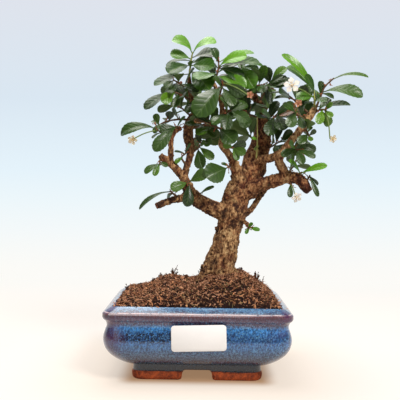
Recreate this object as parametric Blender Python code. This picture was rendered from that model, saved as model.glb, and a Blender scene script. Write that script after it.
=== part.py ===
# Fukien tea bonsai: a small tree in a glazed rectangular pot.
# Lengths are in millimetres until make_object, which turns them into metres.
# X runs along the pot's front, Y from the front to the back, Z up from the table.
import math
import random

import bpy
from mathutils import Matrix, Quaternion, Vector, noise
from mathutils.bvhtree import BVHTree

# The pot
POT_WIDTH = 150.0
POT_DEPTH = 120.0
FOOT_HEIGHT = 8.0
RIM_HEIGHT = 55.5
LIP_HEIGHT = 60.0
LIP_INSET = 8.0
WALL_INSET = 9.5
FLOOR_HEIGHT = 13.0
CORNER_STEPS = 4
DRAIN_RADIUS = 6.0
DRAIN_X = 27.0
FOOT_INSET_X = 22.5
FOOT_INSET_Y = 17.0
FOOT_WIDTH = 13.0
FOOT_GAP_X = 12.3
FOOT_GAP_Y = 13.0
FOOT_BEND = 9.0
# Height of each level of a foot, how much narrower than its plan it is there, and how far its ends
# reach towards the next foot
FOOT_LEVELS = [(FOOT_HEIGHT + 4.4, 0.9, 4.0), (FOOT_HEIGHT + 0.3, 0.6, 4.0), (FOOT_HEIGHT - 1.6, 0.3, 1.2),
               (4.5, -0.3, 0.0), (1.2, 0.2, 0.0), (0.0, 1.2, 0.0)]
# The foot ring between the feet: half its length, half its depth, its top and its corner radius
PLINTH = (51.4, 42.0, 12.5, 8.0)

# Half-width taken off the rim, height and corner radius, up the outside of the pot
POT_OUTSIDE = [
    (27.3, FOOT_HEIGHT + 0.4, 9), (27.0, 8.8, 9), (25.4, 9.8, 9), (18.6, 11.8, 11), (13.2, 14.3, 13),
    (7.9, 18.0, 15), (3.7, 22.4, 16), (1.2, 27.2, 16), (0.0, 33.0, 16), (0.5, 37.2, 15),
    (1.9, 41.6, 13), (2.9, 44.2, 11), (3.0, 46.4, 10), (2.0, 48.9, 10), (0.5, 50.6, 10),
    (0.0, 51.8, 10), (0.0, RIM_HEIGHT - 0.8, 10), (0.7, RIM_HEIGHT + 0.2, 9.6),
    (LIP_INSET - 0.8, LIP_HEIGHT - 0.3, 7), (LIP_INSET, LIP_HEIGHT, 6.5),
]
# The same down the inside
POT_INSIDE = [
    (WALL_INSET - 0.4, LIP_HEIGHT - 0.6, 6), (WALL_INSET, LIP_HEIGHT - 2, 6), (WALL_INSET, 29.0, 6),
    (13.5, 23.0, 6), (23.0, 16.5, 6), (30.0, FLOOR_HEIGHT, 6),
]

# The gap between two pieces that only stand against each other
GAP = 0.35

# The soil
HOLE_GAP = 0.6
SOIL_GAP = 0.5
SOIL_RINGS = 8
SOIL_SIDE_STEPS = (8, 4)
SOIL_EDGE = 59.4
# Height of the mound along the middle of the pot, from left to right
SOIL_RIDGE = [(-66, 59.4), (-64, 61.5), (-60, 63), (-47, 65.6), (-40, 69), (-33, 73.3), (-27, 75.6), (-21, 74.4),
              (-8, 72.6), (0, 74.8), (8, 79), (24, 81.2), (37, 80.6), (43, 77.4), (54, 70.4), (60, 66.5),
              (64, 62.5), (66, 59.4)]
SOIL_RELIEF = 0.9

# The wood: points on each limb's middle line and its radius there. The first is the trunk.
LIMBS = {
    "trunk": [(15, 0, 62, 12.6), (16, 0, 73, 14.4), (18, 0, 83, 13.6), (19, 0, 91, 12.9),
              (22, 0, 101, 11.3), (24, 0, 111, 11.0), (26, 0, 121, 10.8), (28, 0, 131, 11.8),
              (30, 1, 139, 11.2), (32, 2, 148, 11.4), (35, 4, 156, 10.4)],
    "leader": [(35, 3, 153, 9.6), (45, 7, 168, 10.6), (48, 9, 179, 10.0), (52, 11, 191, 8.6),
               (55, 12, 206, 6.6), (53, 9, 221, 4.2), (50, 6, 230, 2.4)],
    "leader_top": [(52, 10, 219, 2.8), (46, 5, 234, 2.3), (41, 1, 244, 1.9), (38, -1, 249, 1.6)],
    "right_limb": [(30, 2, 144, 8.4), (43, -3, 153, 7.1), (54, -7, 158, 5.6), (64, -9, 161, 5.1),
                   (74, -10, 164, 5.0), (84, -11, 162.5, 4.7), (89, -12, 156, 4.3), (92, -12, 152, 3.2)],
    "right_rise": [(73, -10, 162, 3.8), (70, -12, 170, 3.9), (66, -13, 178, 3.6), (70, -16, 187, 3.1),
                   (78, -18, 197, 3.0), (85, -18, 207, 3.0), (92, -17, 217, 2.9), (95, -15, 221, 2.7)],
    "cross_limb": [(41, 7, 172, 3.4), (50, -1, 178, 3.4), (60, -9, 180, 3.4), (69, -15, 185, 3.2)],
    "left_limb": [(28, 0, 131, 7.2), (12, -3, 136, 6.6), (0, -6, 142, 6.0), (-7, -8, 148, 5.3),
                  (-11, -9, 155, 4.5), (-14, -9, 163, 3.8)],
    "left_stub": [(-13, -9, 161, 3.6), (-20, -10, 169, 3.4), (-26, -11, 175, 3.2), (-31, -12, 178, 3.0),
                  (-34, -12, 181, 2.2)],
    "left_rise": [(-14, -8, 162, 3.0), (-11, -6, 173, 2.8), (-9, -3, 181, 2.9), (-9, -1, 190, 3.7),
                  (-11, 0, 198, 4.2), (-10, 1, 209, 4.0), (-6, 1, 219, 2.8), (-8, 0, 230, 2.4),
                  (-10, -1, 241, 2.0), (-11, -1, 249, 1.6)],
    "left_arm": [(-25, -11, 173, 2.5), (-25, -12, 185, 2.3), (-25, -12, 195, 2.3), (-22, -11, 201, 2.2),
                 (-17, -9, 204, 2.0)],
    "low_stub": [(-5, -7, 146, 3.8), (-20, -12, 144, 3.0), (-29, -15, 141, 2.7), (-36, -18, 138, 2.7)],
    "inner_left": [(33, 1, 155, 5.8), (31, -4, 168, 4.5), (28, -7, 176, 3.6), (24, -9, 183, 3.0),
                   (18, -11, 190, 2.7), (19, -13, 199, 2.3), (18, -14, 211, 2.1), (17, -14, 223, 2.0),
                   (14, -12, 234, 1.8), (10, -10, 242, 1.6)],
    "twig_right": [(30, 2, 127, 3.4), (43, 3, 134, 2.4), (51, 5, 145, 2.1), (60, 8, 157, 1.8)],
    "bud_twig": [(31, -4, 131, 2.2), (39, -9, 125, 1.7), (43, -11, 121, 1.4)],
    "root_left": [(13, -2, 90, 5.6), (7, -5, 80, 6.2), (3, -7, 69, 5.6)],
    "root_right": [(23, -2, 88, 5.6), (29, -4, 79, 5.8), (33, -6, 69, 5.2)],
    "root_back": [(18, 3, 88, 6.0), (19, 9, 79, 6.4), (20, 13, 69, 5.8)],
}
ROOTS = ("root_left", "root_right", "root_back")
RING_SPACING = 8.0
BARK_SWELL = 0.11
BARK_SCALE = 0.11

# The leafy shoots. Each has its colour, the points of its twig, its chosen leaves, how many more
# the rule adds, and their length. A chosen leaf is the place along the twig from 0 to 1, the tip,
# and the width as a share of the length. Most also have how far the leaf faces the front, from 0
# for flat to 90 degrees, and how much it bends along its length, in radians.
SHOOTS = {
    "crest_left": ("new", [(-11, -1, 247), (-10, -3, 256), (-9, -5, 264), (-8, -6, 269)], [
        (1.0, (-25.5, -10, 278), 0.66, 44, 1.5), (0.95, (12, -12, 276), 0.64, 38, 1.5),
        (0.8, (14, -2, 269), 0.72, 42, 0.5), (0.75, (-27, -10, 266), 0.66, 55, 0.6),
        (0.7, (-31, -2, 258), 0.36, 28, 0.8), (0.5, (-28, -20, 248), 0.62, 48, 0.7),
        (0.5, (10, -18, 254), 0.62, 66, 0.5), (0.12, (-40, -12, 239), 0.38, 36, 0.5),
        (0.65, (10, -8, 262), 0.72, 56, 0.6), (0.3, (7, -20, 235), 0.62, 66, 0.5)], 2, 16),
    "left_plume": ("green", [(-11, -1, 239), (-17, -8, 241), (-24, -14, 244)], [
        (1.0, (-30, -20, 236), 0.66, 52, 0.6), (0.75, (-24, -24, 231), 0.50, 70, 0.5),
        (0.55, (-2, -16, 234), 0.44, 60, 0.5)], 4, 19),
    "left_sweep": ("green", [(-9, 0, 229), (-16, -8, 232), (-24, -14, 234)], [
        (1.0, (-47, -20, 218), 0.48, 34, 0.6), (0.9, (-33, -24, 224), 0.55, 72, 0.4),
        (0.7, (-23, -18, 220), 0.48, 72, 0.5), (0.4, (-29, -2, 236), 0.44, 60, 0.5)], 4, 19),
    "left_bud": ("green", [(-8, 1, 212), (-18, -4, 212), (-29, -6, 210), (-37, -6, 206)], [
        (0.95, (-39, -8, 216), 0.62, 75, 0.4), (1.0, (-42, 0, 211), 0.50, 60, 0.5),
        (0.62, (-26, -12, 218), 0.80, 80, 0.4), (0.75, (-31, 4, 214), 0.50, 70, 0.4)], 3, 15),
    "left_arch": ("green", [(-24, -12, 194), (-31, -14, 198), (-38, -14, 203)], [
        (1.0, (-67, -16, 197), 0.36, 52, 1.7), (0.6, (-40, -22, 194), 0.35)], 1, 10),
    "arm_tip": ("green", [(-18, -9, 204), (-21, -16, 205)], [
        (1.0, (-38, -26, 183), 0.40, 66, 0.7), (0.5, (-13, -18, 213), 0.36),
        (0.8, (-34, -20, 200), 0.64, 70, 0.5)], 1, 11),
    "stub_left": ("green", [(-33, -12, 180), (-34, -14, 175), (-34, -15, 172)], [
        (1.0, (-46, -20, 165), 0.40, 55, 1.2), (0.8, (-38, -22, 163), 0.42, 65, 0.6),
        (0.5, (-27, -22, 171), 0.40)], 0, 9),
    "rise_low": ("green", [(-12, -6, 173), (-16, -10, 179), (-12, -12, 183)], [
        (0.6, (-21, -14, 174), 0.50, 60, 0.6), (1.0, (-22, -14, 184), 0.26, 45, 0.6),
        (0.9, (-8, -16, 191), 0.30)], 0, 9),
    "rise_right": ("green", [(-7, -2, 184), (-1, -6, 189), (2, -8, 194)], [
        (1.0, (9, -14, 191), 0.90, 75, 0.4), (0.5, (11, -12, 178), 0.46, 75, 0.5),
        (0.75, (-3, -16, 200), 0.42), (0.4, (2, -14, 170), 0.58, 78, 0.5)], 1, 12),
    "fork_spray": ("green", [(-12, -10, 160), (-9, -18, 158)], [
        (1.0, (7, -28, 166), 0.54, 65, 0.6), (0.6, (-24, -24, 152), 0.56, 70, 0.5),
        (0.9, (-11, -24, 138), 0.50, 75, 0.6)], 0, 12),
    "low_arch": ("green", [(-19, -12, 146), (-23, -15, 149), (-25, -17, 151)], [
        (1.0, (-50, -22, 135), 0.18, 35, 1.2), (0.5, (-28, -10, 144), 0.60, 75, 0.4)], 0, 9),
    "limb_bud": ("green", [(-2, -8, 145), (0, -14, 149)], [
        (1.0, (12, -18, 155), 0.30, 45, 0.5)], 0, 8),
    "rise_mid": ("green", [(-7, 1, 205), (2, -4, 208), (9, -6, 210)], [
        (1.0, (13, -14, 202), 0.50, 65, 0.5), (0.6, (-1, -16, 199), 0.48, 65, 0.5),
        (0.8, (4, -14, 217), 0.46, 60, 0.5)], 4, 19),
    "rise_top": ("green", [(-9, 0, 222), (-1, -6, 228), (4, -8, 235)], [
        (1.0, (-3, -26, 211), 0.52, 70, 0.5), (0.8, (10, -22, 223), 0.50, 65, 0.5),
        (0.5, (-13, -14, 217), 0.46, 65, 0.5)], 4, 20),
    "crest_mid": ("new", [(10, -10, 243), (13, -12, 250), (14, -12, 256), (14, -10, 261)], [
        (1.0, (44, -10, 268), 0.34, 34, 0.6), (0.7, (48, -20, 257.5), 0.34, 44, 0.7),
        (0.4, (-3, -24, 241), 0.70, 64, 0.6), (0.3, (37, -22, 238), 0.46, 62, 0.6),
        (0.7, (2, -10, 261), 0.66, 55, 0.7), (0.75, (35, -16, 245), 0.54, 66, 0.7),
        (0.8, (37, -22, 263), 0.52, 55, 1.0)], 4, 18),
    "mid_fan": ("green", [(15, -13, 232), (17, -18, 238), (18, -20, 242)], [
        (1.0, (36, -28, 230), 0.46, 70, 0.6), (0.7, (-4, -30, 212), 0.56, 75, 0.6),
        (0.6, (27, -28, 221), 0.46, 72, 0.5)], 4, 20),
    "mid_front": ("green", [(18, -14, 213), (22, -20, 217), (25, -22, 218)], [
        (1.0, (38, -32, 208), 0.52, 70, 0.6), (0.7, (20, -32, 201), 0.52, 72, 0.5),
        (0.8, (31, -32, 225), 0.46, 60, 0.6), (0.4, (9, -26, 206), 0.50, 68, 0.5)], 4, 20),
    "inner_low": ("green", [(20, -10, 187), (25, -14, 188), (28, -16, 188)], [
        (1.0, (37, -20, 182), 0.70, 72, 0.4), (0.9, (19, -18, 191), 0.75, 72, 0.4),
        (0.8, (31, -20, 177), 0.45, 60, 0.5),
        (0.3, (38, -16, 192), 0.56, 74, 0.4)], 1, 10),
    "heart": ("green", [(26, -8, 175), (24, -15, 172), (23, -19, 171)], [
        (1.0, (5, -28, 162), 0.80, 78, 0.4)], 1, 9),
    "crest_right": ("new", [(38, -1, 248), (35, -4, 254), (33, -6, 260)], [
        (1.0, (44, -16, 238), 0.62, 70, 0.6), (1.0, (53, -2, 258), 0.30, 45, 1.1),
        (0.6, (23, 4, 254), 0.40), (0.5, (52, 4, 250), 0.40), (0.8, (49, 0, 257), 0.46, 60, 0.5)], 4, 18),
    "lead_right": ("green", [(51, 6, 231), (56, 4, 239), (60, 0, 246)], [
        (1.0, (72, -6, 257), 0.48, 55, 1.0), (0.9, (54, -8, 257), 0.60, 65, 0.5),
        (0.7, (73, -12, 246), 0.50, 60, 0.7), (0.5, (42, -14, 235), 0.46, 65, 0.5)], 4, 19),
    "lead_left": ("green", [(50, 8, 216), (40, -2, 218), (35, -6, 221)], [
        (1.0, (22, -16, 212), 0.50, 65, 0.5), (0.8, (36, -18, 204), 0.54, 72, 0.5),
        (0.6, (46, -16, 224), 0.50, 60, 0.5)], 4, 20),
    "lead_front": ("green", [(54, 10, 207), (60, -4, 213), (64, -12, 217)], [
        (1.0, (68, -24, 202), 0.62, 72, 0.5), (0.8, (56, -20, 198), 0.56, 72, 0.5),
        (0.9, (73, -22, 224), 0.46, 60, 0.6), (0.6, (50, -20, 217), 0.50, 65, 0.5)], 4, 20),
    "rise_left": ("green", [(87, -18, 211), (82, -22, 214), (77, -24, 217)], [
        (1.0, (71, -32, 204), 0.60, 72, 0.5), (0.6, (83, -32, 203), 0.54, 72, 0.5),
        (0.9, (66, -30, 223), 0.44, 60, 0.6)], 3, 19),
    "right_crest": ("new", [(95, -15, 220), (94, -18, 228), (93, -20, 236)], [
        (1.0, (65, -26, 264), 0.20, 55, 1.0), (1.0, (71, -16, 256), 0.50, 38, 0.8),
        (0.7, (77, -28, 228), 0.46, 65, 0.6), (0.5, (102, -28, 226), 0.54, 60, 0.5),
        (0.4, (83, -10, 224), 0.42), (0.85, (84, -24, 247), 0.40, 60, 0.6)], 4, 18),
    "right_reach": ("green", [(96, -14, 222), (99, -18, 231), (102, -20, 239), (109, -22, 246)], [
        (1.0, (136, -28, 246), 0.18, 45, 1.1), (0.5, (130, -34, 229), 0.42, 48, 1.1),
        (0.05, (126, -10, 226), 0.36, 35, 0.3),
        (0.35, (98, -20, 244), 0.56, 60, 0.5), (0.5, (111, -14, 231), 0.46, 60, 0.4)], 0, 16),
    "right_cluster": ("green", [(94, -17, 218), (99, -22, 220), (103, -24, 219)], [
        (1.0, (107, -28, 213), 0.60, 72, 0.5), (0.8, (107, -30, 224), 0.50, 65, 0.5),
        (0.7, (95, -30, 207), 0.50, 72, 0.5), (0.5, (107, -18, 207), 0.60, 70, 0.5)], 4, 15),
    "under_right": ("green", [(86, -18, 207), (88, -22, 201), (90, -24, 197)], [
        (1.0, (89, -32, 193), 0.50, 70, 0.5), (0.7, (79, -32, 191), 0.50, 70, 0.5),
        (0.5, (92, -20, 206), 0.46, 60, 0.5), (0.9, (94, -26, 203), 0.62, 70, 0.4)], 3, 17),
    "cross_tip": ("green", [(74, -17, 192), (78, -22, 188), (80, -24, 186)], [
        (1.0, (94, -28, 180), 0.38), (0.9, (83, -32, 174), 0.50), (0.6, (66, -28, 181), 0.46)], 2, 15),
    "limb_new": ("new", [(84, -12, 163), (84, -16, 168)], [
        (1.0, (105, -22, 174), 0.32, 55, 0.6), (0.8, (73, -22, 178), 0.40)], 0, 9),
    "limb_tip": ("green", [(89, -12, 159), (91, -15, 164), (92, -16, 166)], [
        (1.0, (98, -22, 148), 0.24), (0.8, (100, -10, 158), 0.22)], 0, 9),
    "limb_under": ("green", [(76, -11, 161), (76, -14, 157)], [
        (1.0, (75, -20, 147), 0.40)], 0, 8),
    "back_left": ("green", [(-8, 4, 216), (-5, 22, 227), (-9, 36, 236)], [], 6, 23),
    "back_mid": ("green", [(42, 4, 239), (38, 24, 241), (32, 40, 247)], [], 7, 23),
    "back_lead": ("green", [(54, 14, 213), (59, 32, 224), (57, 50, 234)], [], 7, 24),
    "back_low": ("green", [(49, 14, 192), (45, 34, 202), (37, 50, 209)], [], 7, 23),
    "back_right": ("green", [(83, -14, 205), (86, 8, 216), (93, 26, 227)], [], 7, 23),
    "back_limb": ("green", [(72, -4, 163), (81, 12, 173), (88, 26, 182)], [], 5, 20),
    "back_left_low": ("green", [(-8, 2, 195), (-1, 20, 200), (5, 34, 205)], [], 6, 20),
    "left_fill": ("green", [(-7, 2, 214), (-17, 8, 223), (-27, 14, 228)], [], 6, 20),
    "inner_mid": ("green", [(18, -13, 203), (10, -13, 206), (2, -12, 206)], [
        (0.12, (28, -20, 191), 0.70, 75, 0.4)], 5, 19),
    "centre_fill": ("green", [(18, -13, 218), (30, -2, 222), (42, 0, 228)], [], 7, 20),
    "crest_fill": ("green", [(42, 1, 241), (52, -6, 242), (60, -12, 238)], [], 7, 20),
    "rise_fill": ("green", [(92, -17, 215), (82, -10, 226), (73, -8, 234)], [
        (0.9, (64, -22, 233), 0.62, 65, 0.5), (0.5, (86, -20, 240), 0.56, 65, 0.5)], 6, 20),
    "lead_low": ("green", [(50, 10, 188), (60, 6, 190), (70, 2, 196)], [
        (0.9, (78, -8, 203), 0.54, 70, 0.4), (0.5, (65, -6, 184), 0.50, 70, 0.4)], 5, 20),
    "right_low": ("green", [(79, -18, 198), (84, -8, 191), (86, 1, 187)], [], 7, 14),
    "trunk_bud": ("new", [(42, -10, 122), (41, -14, 121), (42, -17, 121)], [
        (1.0, (50, -21, 119), 0.55), (0.8, (43, -21, 126), 0.55), (0.9, (39, -20, 116), 0.50)], 0, 6),
    "young_shoot": ("new", [(48, -1, 177), (48, -8, 194), (47, -14, 214)], [
        (0.45, (43, -10, 197), 0.40)], 0, 6),
}
TWIG_RADIUS = 0.95
TWIG_TIP_RADIUS = 0.75
TWIG_SIDES = 4
TWIG_SPACING = 5.0
TWIG_STEP = 0.1
# How far a twig's foot lies from the limb that carries it, and the foot's radius
SEAT_GAP = 0.3
SEAT_RADIUS = 0.75
GOLDEN_ANGLE = math.radians(137.5)
LEAF_CLEARANCE = 0.2
LEAF_THICKNESS = 0.95
PETIOLE_HALF_WIDTH = 0.55
PETIOLE_DEPTH = 0.45
ROOT_HALF_WIDTH = 0.38
LEAF_FOLD = math.radians(17)
LONG_LEAF = 20.5
# What is tried in turn until a leaf is clear: share of its length and whether it may cross a leaf
# of its own shoot, how far its tip moves to the back, how far it rolls and how far it turns
CHOSEN_TRIES = [(1.0, False), (0.88, False), (1.0, True), (0.88, True), (0.76, True), (0.64, True)]
DEPTH_TRIES = [0, -3, 3, -6, 6, -9, 9, -12]
ROLL_TRIES = [0.0, 0.5, -0.5]
SHRINK_TRIES = [1.0, 0.85, 0.7, 0.58]
TURN_TRIES = [0, 0.35, -0.35, 0.7, -0.7, 1.1, -1.1, 1.6, -1.6, 2.2]
TREE_MIDDLE = Vector((30.0, 8.0, 205.0))
UPWARD = 0.8
TO_THE_SIDE = 0.8
OUTWARD = 0.5

# Half the outline of a blade: share of the length, share of the widest half-width.
# The first two points are the petiole, which keeps its own width.
LONG_OUTLINE = [(0.0, 0.0), (0.12, 0.0), (0.42, 0.62), (0.70, 1.0), (0.77, 0.84), (0.86, 0.84),
                (0.905, 0.58), (1.0, 0.0)]
SHORT_OUTLINE = [(0.0, 0.0), (0.12, 0.0), (0.44, 0.68), (0.72, 1.0), (0.79, 0.80), (0.89, 0.68), (1.0, 0.0)]
LONG_RIB = [0.0, 0.40, 0.74, 1.0]
SHORT_RIB = [0.0, 0.52, 1.0]

# The flowers: the shoot that each grows on, the place along its twig, the middle of the flower,
# the way that it faces, its diameter and its colour
BLOOMS = {
    "bloom_top": ("right_crest", 0.55, (71.5, -42, 236.5), (-0.25, -1, 0.2), 14.0, "white"),
    "bloom_left": ("left_arch", 0.85, (-56, -26, 192), (-0.2, -0.9, -0.4), 9.5, "cream"),
    "bloom_low": ("limb_under", 0.6, (80.6, -22, 147), (0.3, -1, -0.35), 10.0, "white"),
    "bloom_far": ("right_cluster", 0.85, (107, -33, 195), (0.5, -1, -0.3), 8.0, "cream"),
    "bloom_faded": ("rise_left", 0.95, (78, -36, 223), (-0.2, -1, 0.2), 8.0, "faded"),
    "bloom_rust": ("mid_fan", 0.9, (39, -36, 229), (0.1, -1, 0.0), 7.5, "faded"),
}
STALK_RADIUS = 0.5
CUP_RADIUS = 1.3
BLOOM_DEPTH = 2.2
# Half of one petal's edge: angle from its middle, share of the flower's radius, height
PETAL = [(-0.63, 0.34, 0.0), (-0.40, 0.80, -0.3), (0.0, 1.0, -0.9), (0.40, 0.80, -0.3)]
TUBE_SIDES = 10
TUBE_TOP = (0.9, -1.0)
TUBE_FOOT = (0.8, -BLOOM_DEPTH)

# The blank label on the front
LABEL_SIZE = (42.6, 20.2)
LABEL_THICKNESS = 0.6
LABEL_CORNER = 2.6
LABEL_CENTRE = (1.0, 38.0)
LABEL_TILT = math.radians(1.9)

COLOURS = {
    "glaze": ((0.06, 0.17, 0.36), 0.18),
    "soil": ((0.09, 0.045, 0.025), 0.95),
    "bark": ((0.22, 0.13, 0.07), 0.85),
    "label": ((0.85, 0.84, 0.84), 0.5),
    "green": ((0.03, 0.10, 0.025), 0.35),
    "new": ((0.14, 0.33, 0.02), 0.35),
    "white": ((0.85, 0.78, 0.68), 0.5),
    "cream": ((0.80, 0.66, 0.36), 0.5),
    "faded": ((0.50, 0.24, 0.14), 0.6),
}


def clear_scene():
    for thing in list(bpy.data.objects):
        bpy.data.objects.remove(thing, do_unlink=True)


def material(name):
    found = bpy.data.materials.get(name)
    if found:
        return found
    colour, roughness = COLOURS[name]
    found = bpy.data.materials.new(name)
    found.use_nodes = True
    shader = found.node_tree.nodes["Principled BSDF"]
    shader.inputs["Base Color"].default_value = (*colour, 1.0)
    shader.inputs["Roughness"].default_value = roughness
    shader.inputs["Metallic"].default_value = 0.0
    return found


def make_object(name, shape, finish, parent=None):
    """An object from (points in millimetres, faces)."""
    points, faces = shape
    mesh = bpy.data.meshes.new(name)
    mesh.from_pydata([tuple(c / 1000 for c in p) for p in points], [], faces)
    mesh.validate()
    mesh.materials.append(material(finish))
    thing = bpy.data.objects.new(name, mesh)
    bpy.context.scene.collection.objects.link(thing)
    thing.parent = parent
    return thing


def shade_round(thing, degrees):
    thing.data.shade_smooth()
    thing.data.set_sharp_from_angle(angle=math.radians(degrees))


def apply_modifier(thing, modifier):
    bpy.context.view_layer.objects.active = thing
    bpy.ops.object.modifier_apply(modifier=modifier.name)


def join_all(thing, others):
    """One Boolean union of the others with this object, which they then leave."""
    group = bpy.data.collections.new(thing.name + "_pieces")
    bpy.context.scene.collection.children.link(group)
    for other in others:
        bpy.context.scene.collection.objects.unlink(other)
        group.objects.link(other)
    union = thing.modifiers.new("join", "BOOLEAN")
    union.operation = "UNION"
    union.operand_type = "COLLECTION"
    union.collection = group
    union.solver = "EXACT"
    apply_modifier(thing, union)
    for other in others:
        bpy.data.objects.remove(other, do_unlink=True)
    bpy.data.collections.remove(group)


def cut(thing, cutter):
    hole = thing.modifiers.new("cut", "BOOLEAN")
    hole.operation = "DIFFERENCE"
    hole.object = cutter
    hole.solver = "EXACT"
    apply_modifier(thing, hole)
    bpy.data.objects.remove(cutter, do_unlink=True)


def skin(loops):
    """A closed shape through loops of equal length, with its two ends capped."""
    count = len(loops[0])
    points = [p for loop in loops for p in loop]
    faces = [tuple(reversed(range(count)))]
    for row in range(len(loops) - 1):
        for i in range(count):
            j = (i + 1) % count
            a, b = row * count, (row + 1) * count
            faces.append((a + i, a + j, b + j, b + i))
    last = (len(loops) - 1) * count
    faces.append(tuple(range(last, last + count)))
    return points, faces


def rounded_loop(half_x, half_y, height, radius):
    """A level loop, counter-clockwise from above."""
    loop = []
    for quarter, (sx, sy) in enumerate(((1, 1), (-1, 1), (-1, -1), (1, -1))):
        for step in range(CORNER_STEPS + 1):
            angle = math.pi / 2 * (quarter + step / CORNER_STEPS)
            loop.append((sx * (half_x - radius) + radius * math.cos(angle),
                         sy * (half_y - radius) + radius * math.sin(angle), height))
    return loop


def rounded_rectangle(inset, height, radius):
    """One level of the pot."""
    return rounded_loop(POT_WIDTH / 2 - inset, POT_DEPTH / 2 - inset, height, radius)


def foot_shape(sx, sy):
    """An L round one corner, a little narrower where it meets the table."""
    loops = []
    for height, shrink, reach in FOOT_LEVELS:
        x1 = POT_WIDTH / 2 - FOOT_INSET_X - shrink
        y1 = POT_DEPTH / 2 - FOOT_INSET_Y - shrink
        x0, y0 = x1 - FOOT_WIDTH + 2 * shrink, y1 - FOOT_WIDTH + 2 * shrink
        gap_x = FOOT_GAP_X + shrink - reach
        gap_y = FOOT_GAP_Y + shrink - reach
        bend = FOOT_BEND - shrink
        outline = [(x0, gap_y), (x1, gap_y)]
        for step in range(4):
            angle = math.pi / 2 * step / 3
            outline.append((x1 - bend + bend * math.cos(angle), y1 - bend + bend * math.sin(angle)))
        outline += [(gap_x, y1), (gap_x, y0), (x0, y0)]
        outline = [(sx * x, sy * y, height) for x, y in outline]
        loops.append(outline if sx * sy < 0 else outline[::-1])
    return skin(loops)


def drain_shape(x):
    loops = []
    for height in (FOOT_HEIGHT - 3, FLOOR_HEIGHT + 3):
        loops.append([(x + DRAIN_RADIUS * math.cos(2 * math.pi * i / 16),
                       DRAIN_RADIUS * math.sin(2 * math.pi * i / 16), height) for i in range(16)])
    return skin(loops)


def make_pot(parent):
    levels = [rounded_rectangle(*level) for level in POT_OUTSIDE + POT_INSIDE]
    pot = make_object("pot", skin(levels), "glaze", parent)
    half_x, half_y, top, radius = PLINTH
    plinth = skin([rounded_loop(half_x, half_y, height, radius) for height in (FOOT_HEIGHT, top)])
    below = [make_object("plinth", plinth, "glaze")]
    for sx in (-1, 1):
        for sy in (-1, 1):
            below.append(make_object("foot", foot_shape(sx, sy), "glaze"))
    join_all(pot, below)
    for x in (-DRAIN_X, DRAIN_X):
        cut(pot, make_object("drain", drain_shape(x), "glaze"))
    shade_round(pot, 38)
    return pot


def soil_height(x, y):
    """The mound: its ridge along the middle of the pot, and the fall from there to front and back."""
    ridge = SOIL_EDGE
    for (x0, z0), (x1, z1) in zip(SOIL_RIDGE, SOIL_RIDGE[1:]):
        if x0 <= x <= x1:
            ridge = z0 + (z1 - z0) * (x - x0) / (x1 - x0)
    across = max(1 - abs(y / (POT_DEPTH / 2 - WALL_INSET)) ** 3, 0.0)
    rise = (ridge - SOIL_EDGE) * across ** 0.6
    relief = noise.noise(Vector((x, y, 3.0)) * 0.16) + 0.5 * noise.noise(Vector((x, y, 9.0)) * 0.37)
    return SOIL_EDGE + rise + SOIL_RELIEF * relief * min(1.0, rise / 6)


def soil_loop(inset, height, radius):
    """A level with points along its straight sides too."""
    corners = rounded_rectangle(inset, height, radius)
    out = []
    for i, (a, b) in enumerate(zip(corners, corners[1:] + corners[:1])):
        side, place = divmod(i, CORNER_STEPS + 1)
        steps = SOIL_SIDE_STEPS[side % 2] if place == CORNER_STEPS else 1
        out += [tuple(p + (q - p) * step / steps for p, q in zip(a, b)) for step in range(steps)]
    return out


def make_soil(parent, wood_below):
    """A plug that fills the pot, with a plain hole for the trunk and its roots."""
    loops = []
    for inset, height, radius in reversed(POT_INSIDE[1:]):
        lift = GAP if height == FLOOR_HEIGHT else 0.0
        loops.append(soil_loop(inset + SOIL_GAP, height + lift, radius))
    rim = soil_loop(WALL_INSET + SOIL_GAP, 0.0, 6)
    for ring in range(SOIL_RINGS):
        share = 1 - (ring / SOIL_RINGS) ** 1.15
        loops.append([(x * share, y * share, soil_height(x * share, y * share)) for x, y, _ in rim])
    soil = make_object("soil", skin(loops), "soil", parent)
    apply_modifier(soil, soil.modifiers.new("triangles", "TRIANGULATE"))
    for shape in wood_below:
        cut(soil, make_object("hole", shape, "soil"))
    shade_round(soil, 60)
    return soil


def curve_points(points, spacing):
    """Points at an even spacing on a smooth curve through these."""
    rows = [Vector(p) for p in points]
    rows = [rows[0] * 2 - rows[1]] + rows + [rows[-1] * 2 - rows[-2]]
    out = []
    for i in range(1, len(rows) - 2):
        a, b, c, d = rows[i - 1:i + 3]
        steps = max(1, round((c.xyz - b.xyz).length / spacing))
        for step in range(steps):
            t = step / steps
            out.append(0.5 * (2 * b + (c - a) * t + (2 * a - 5 * b + 4 * c - d) * t * t
                              + (3 * b - a - 3 * c + d) * t ** 3))
    return out + [rows[-2]]


def tube(middle, radii, sides, bark=0.0, foot_normal=None):
    """A closed tube. Its rings turn as little as they can from one to the next, and the first can
    be laid flat on a surface with this normal."""
    loops = []
    side = None
    for i, point in enumerate(middle):
        ahead = (middle[min(i + 1, len(middle) - 1)] - middle[max(i - 1, 0)]).normalized()
        if i == 0 and foot_normal:
            ahead = foot_normal
        if side is None:
            side = ahead.orthogonal().normalized()
        side = (side - ahead * side.dot(ahead)).normalized()
        other = ahead.cross(side)
        loop = []
        for k in range(sides):
            angle = 2 * math.pi * k / sides
            away = side * math.cos(angle) + other * math.sin(angle)
            radius = radii[i]
            if bark:
                spot = (point + away * radius) * BARK_SCALE
                radius *= 1 + bark * noise.noise(spot) + 0.5 * bark * noise.noise(spot * 2.3)
            loop.append(tuple(point + away * radius))
        loops.append(loop)
    return skin(loops)


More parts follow.
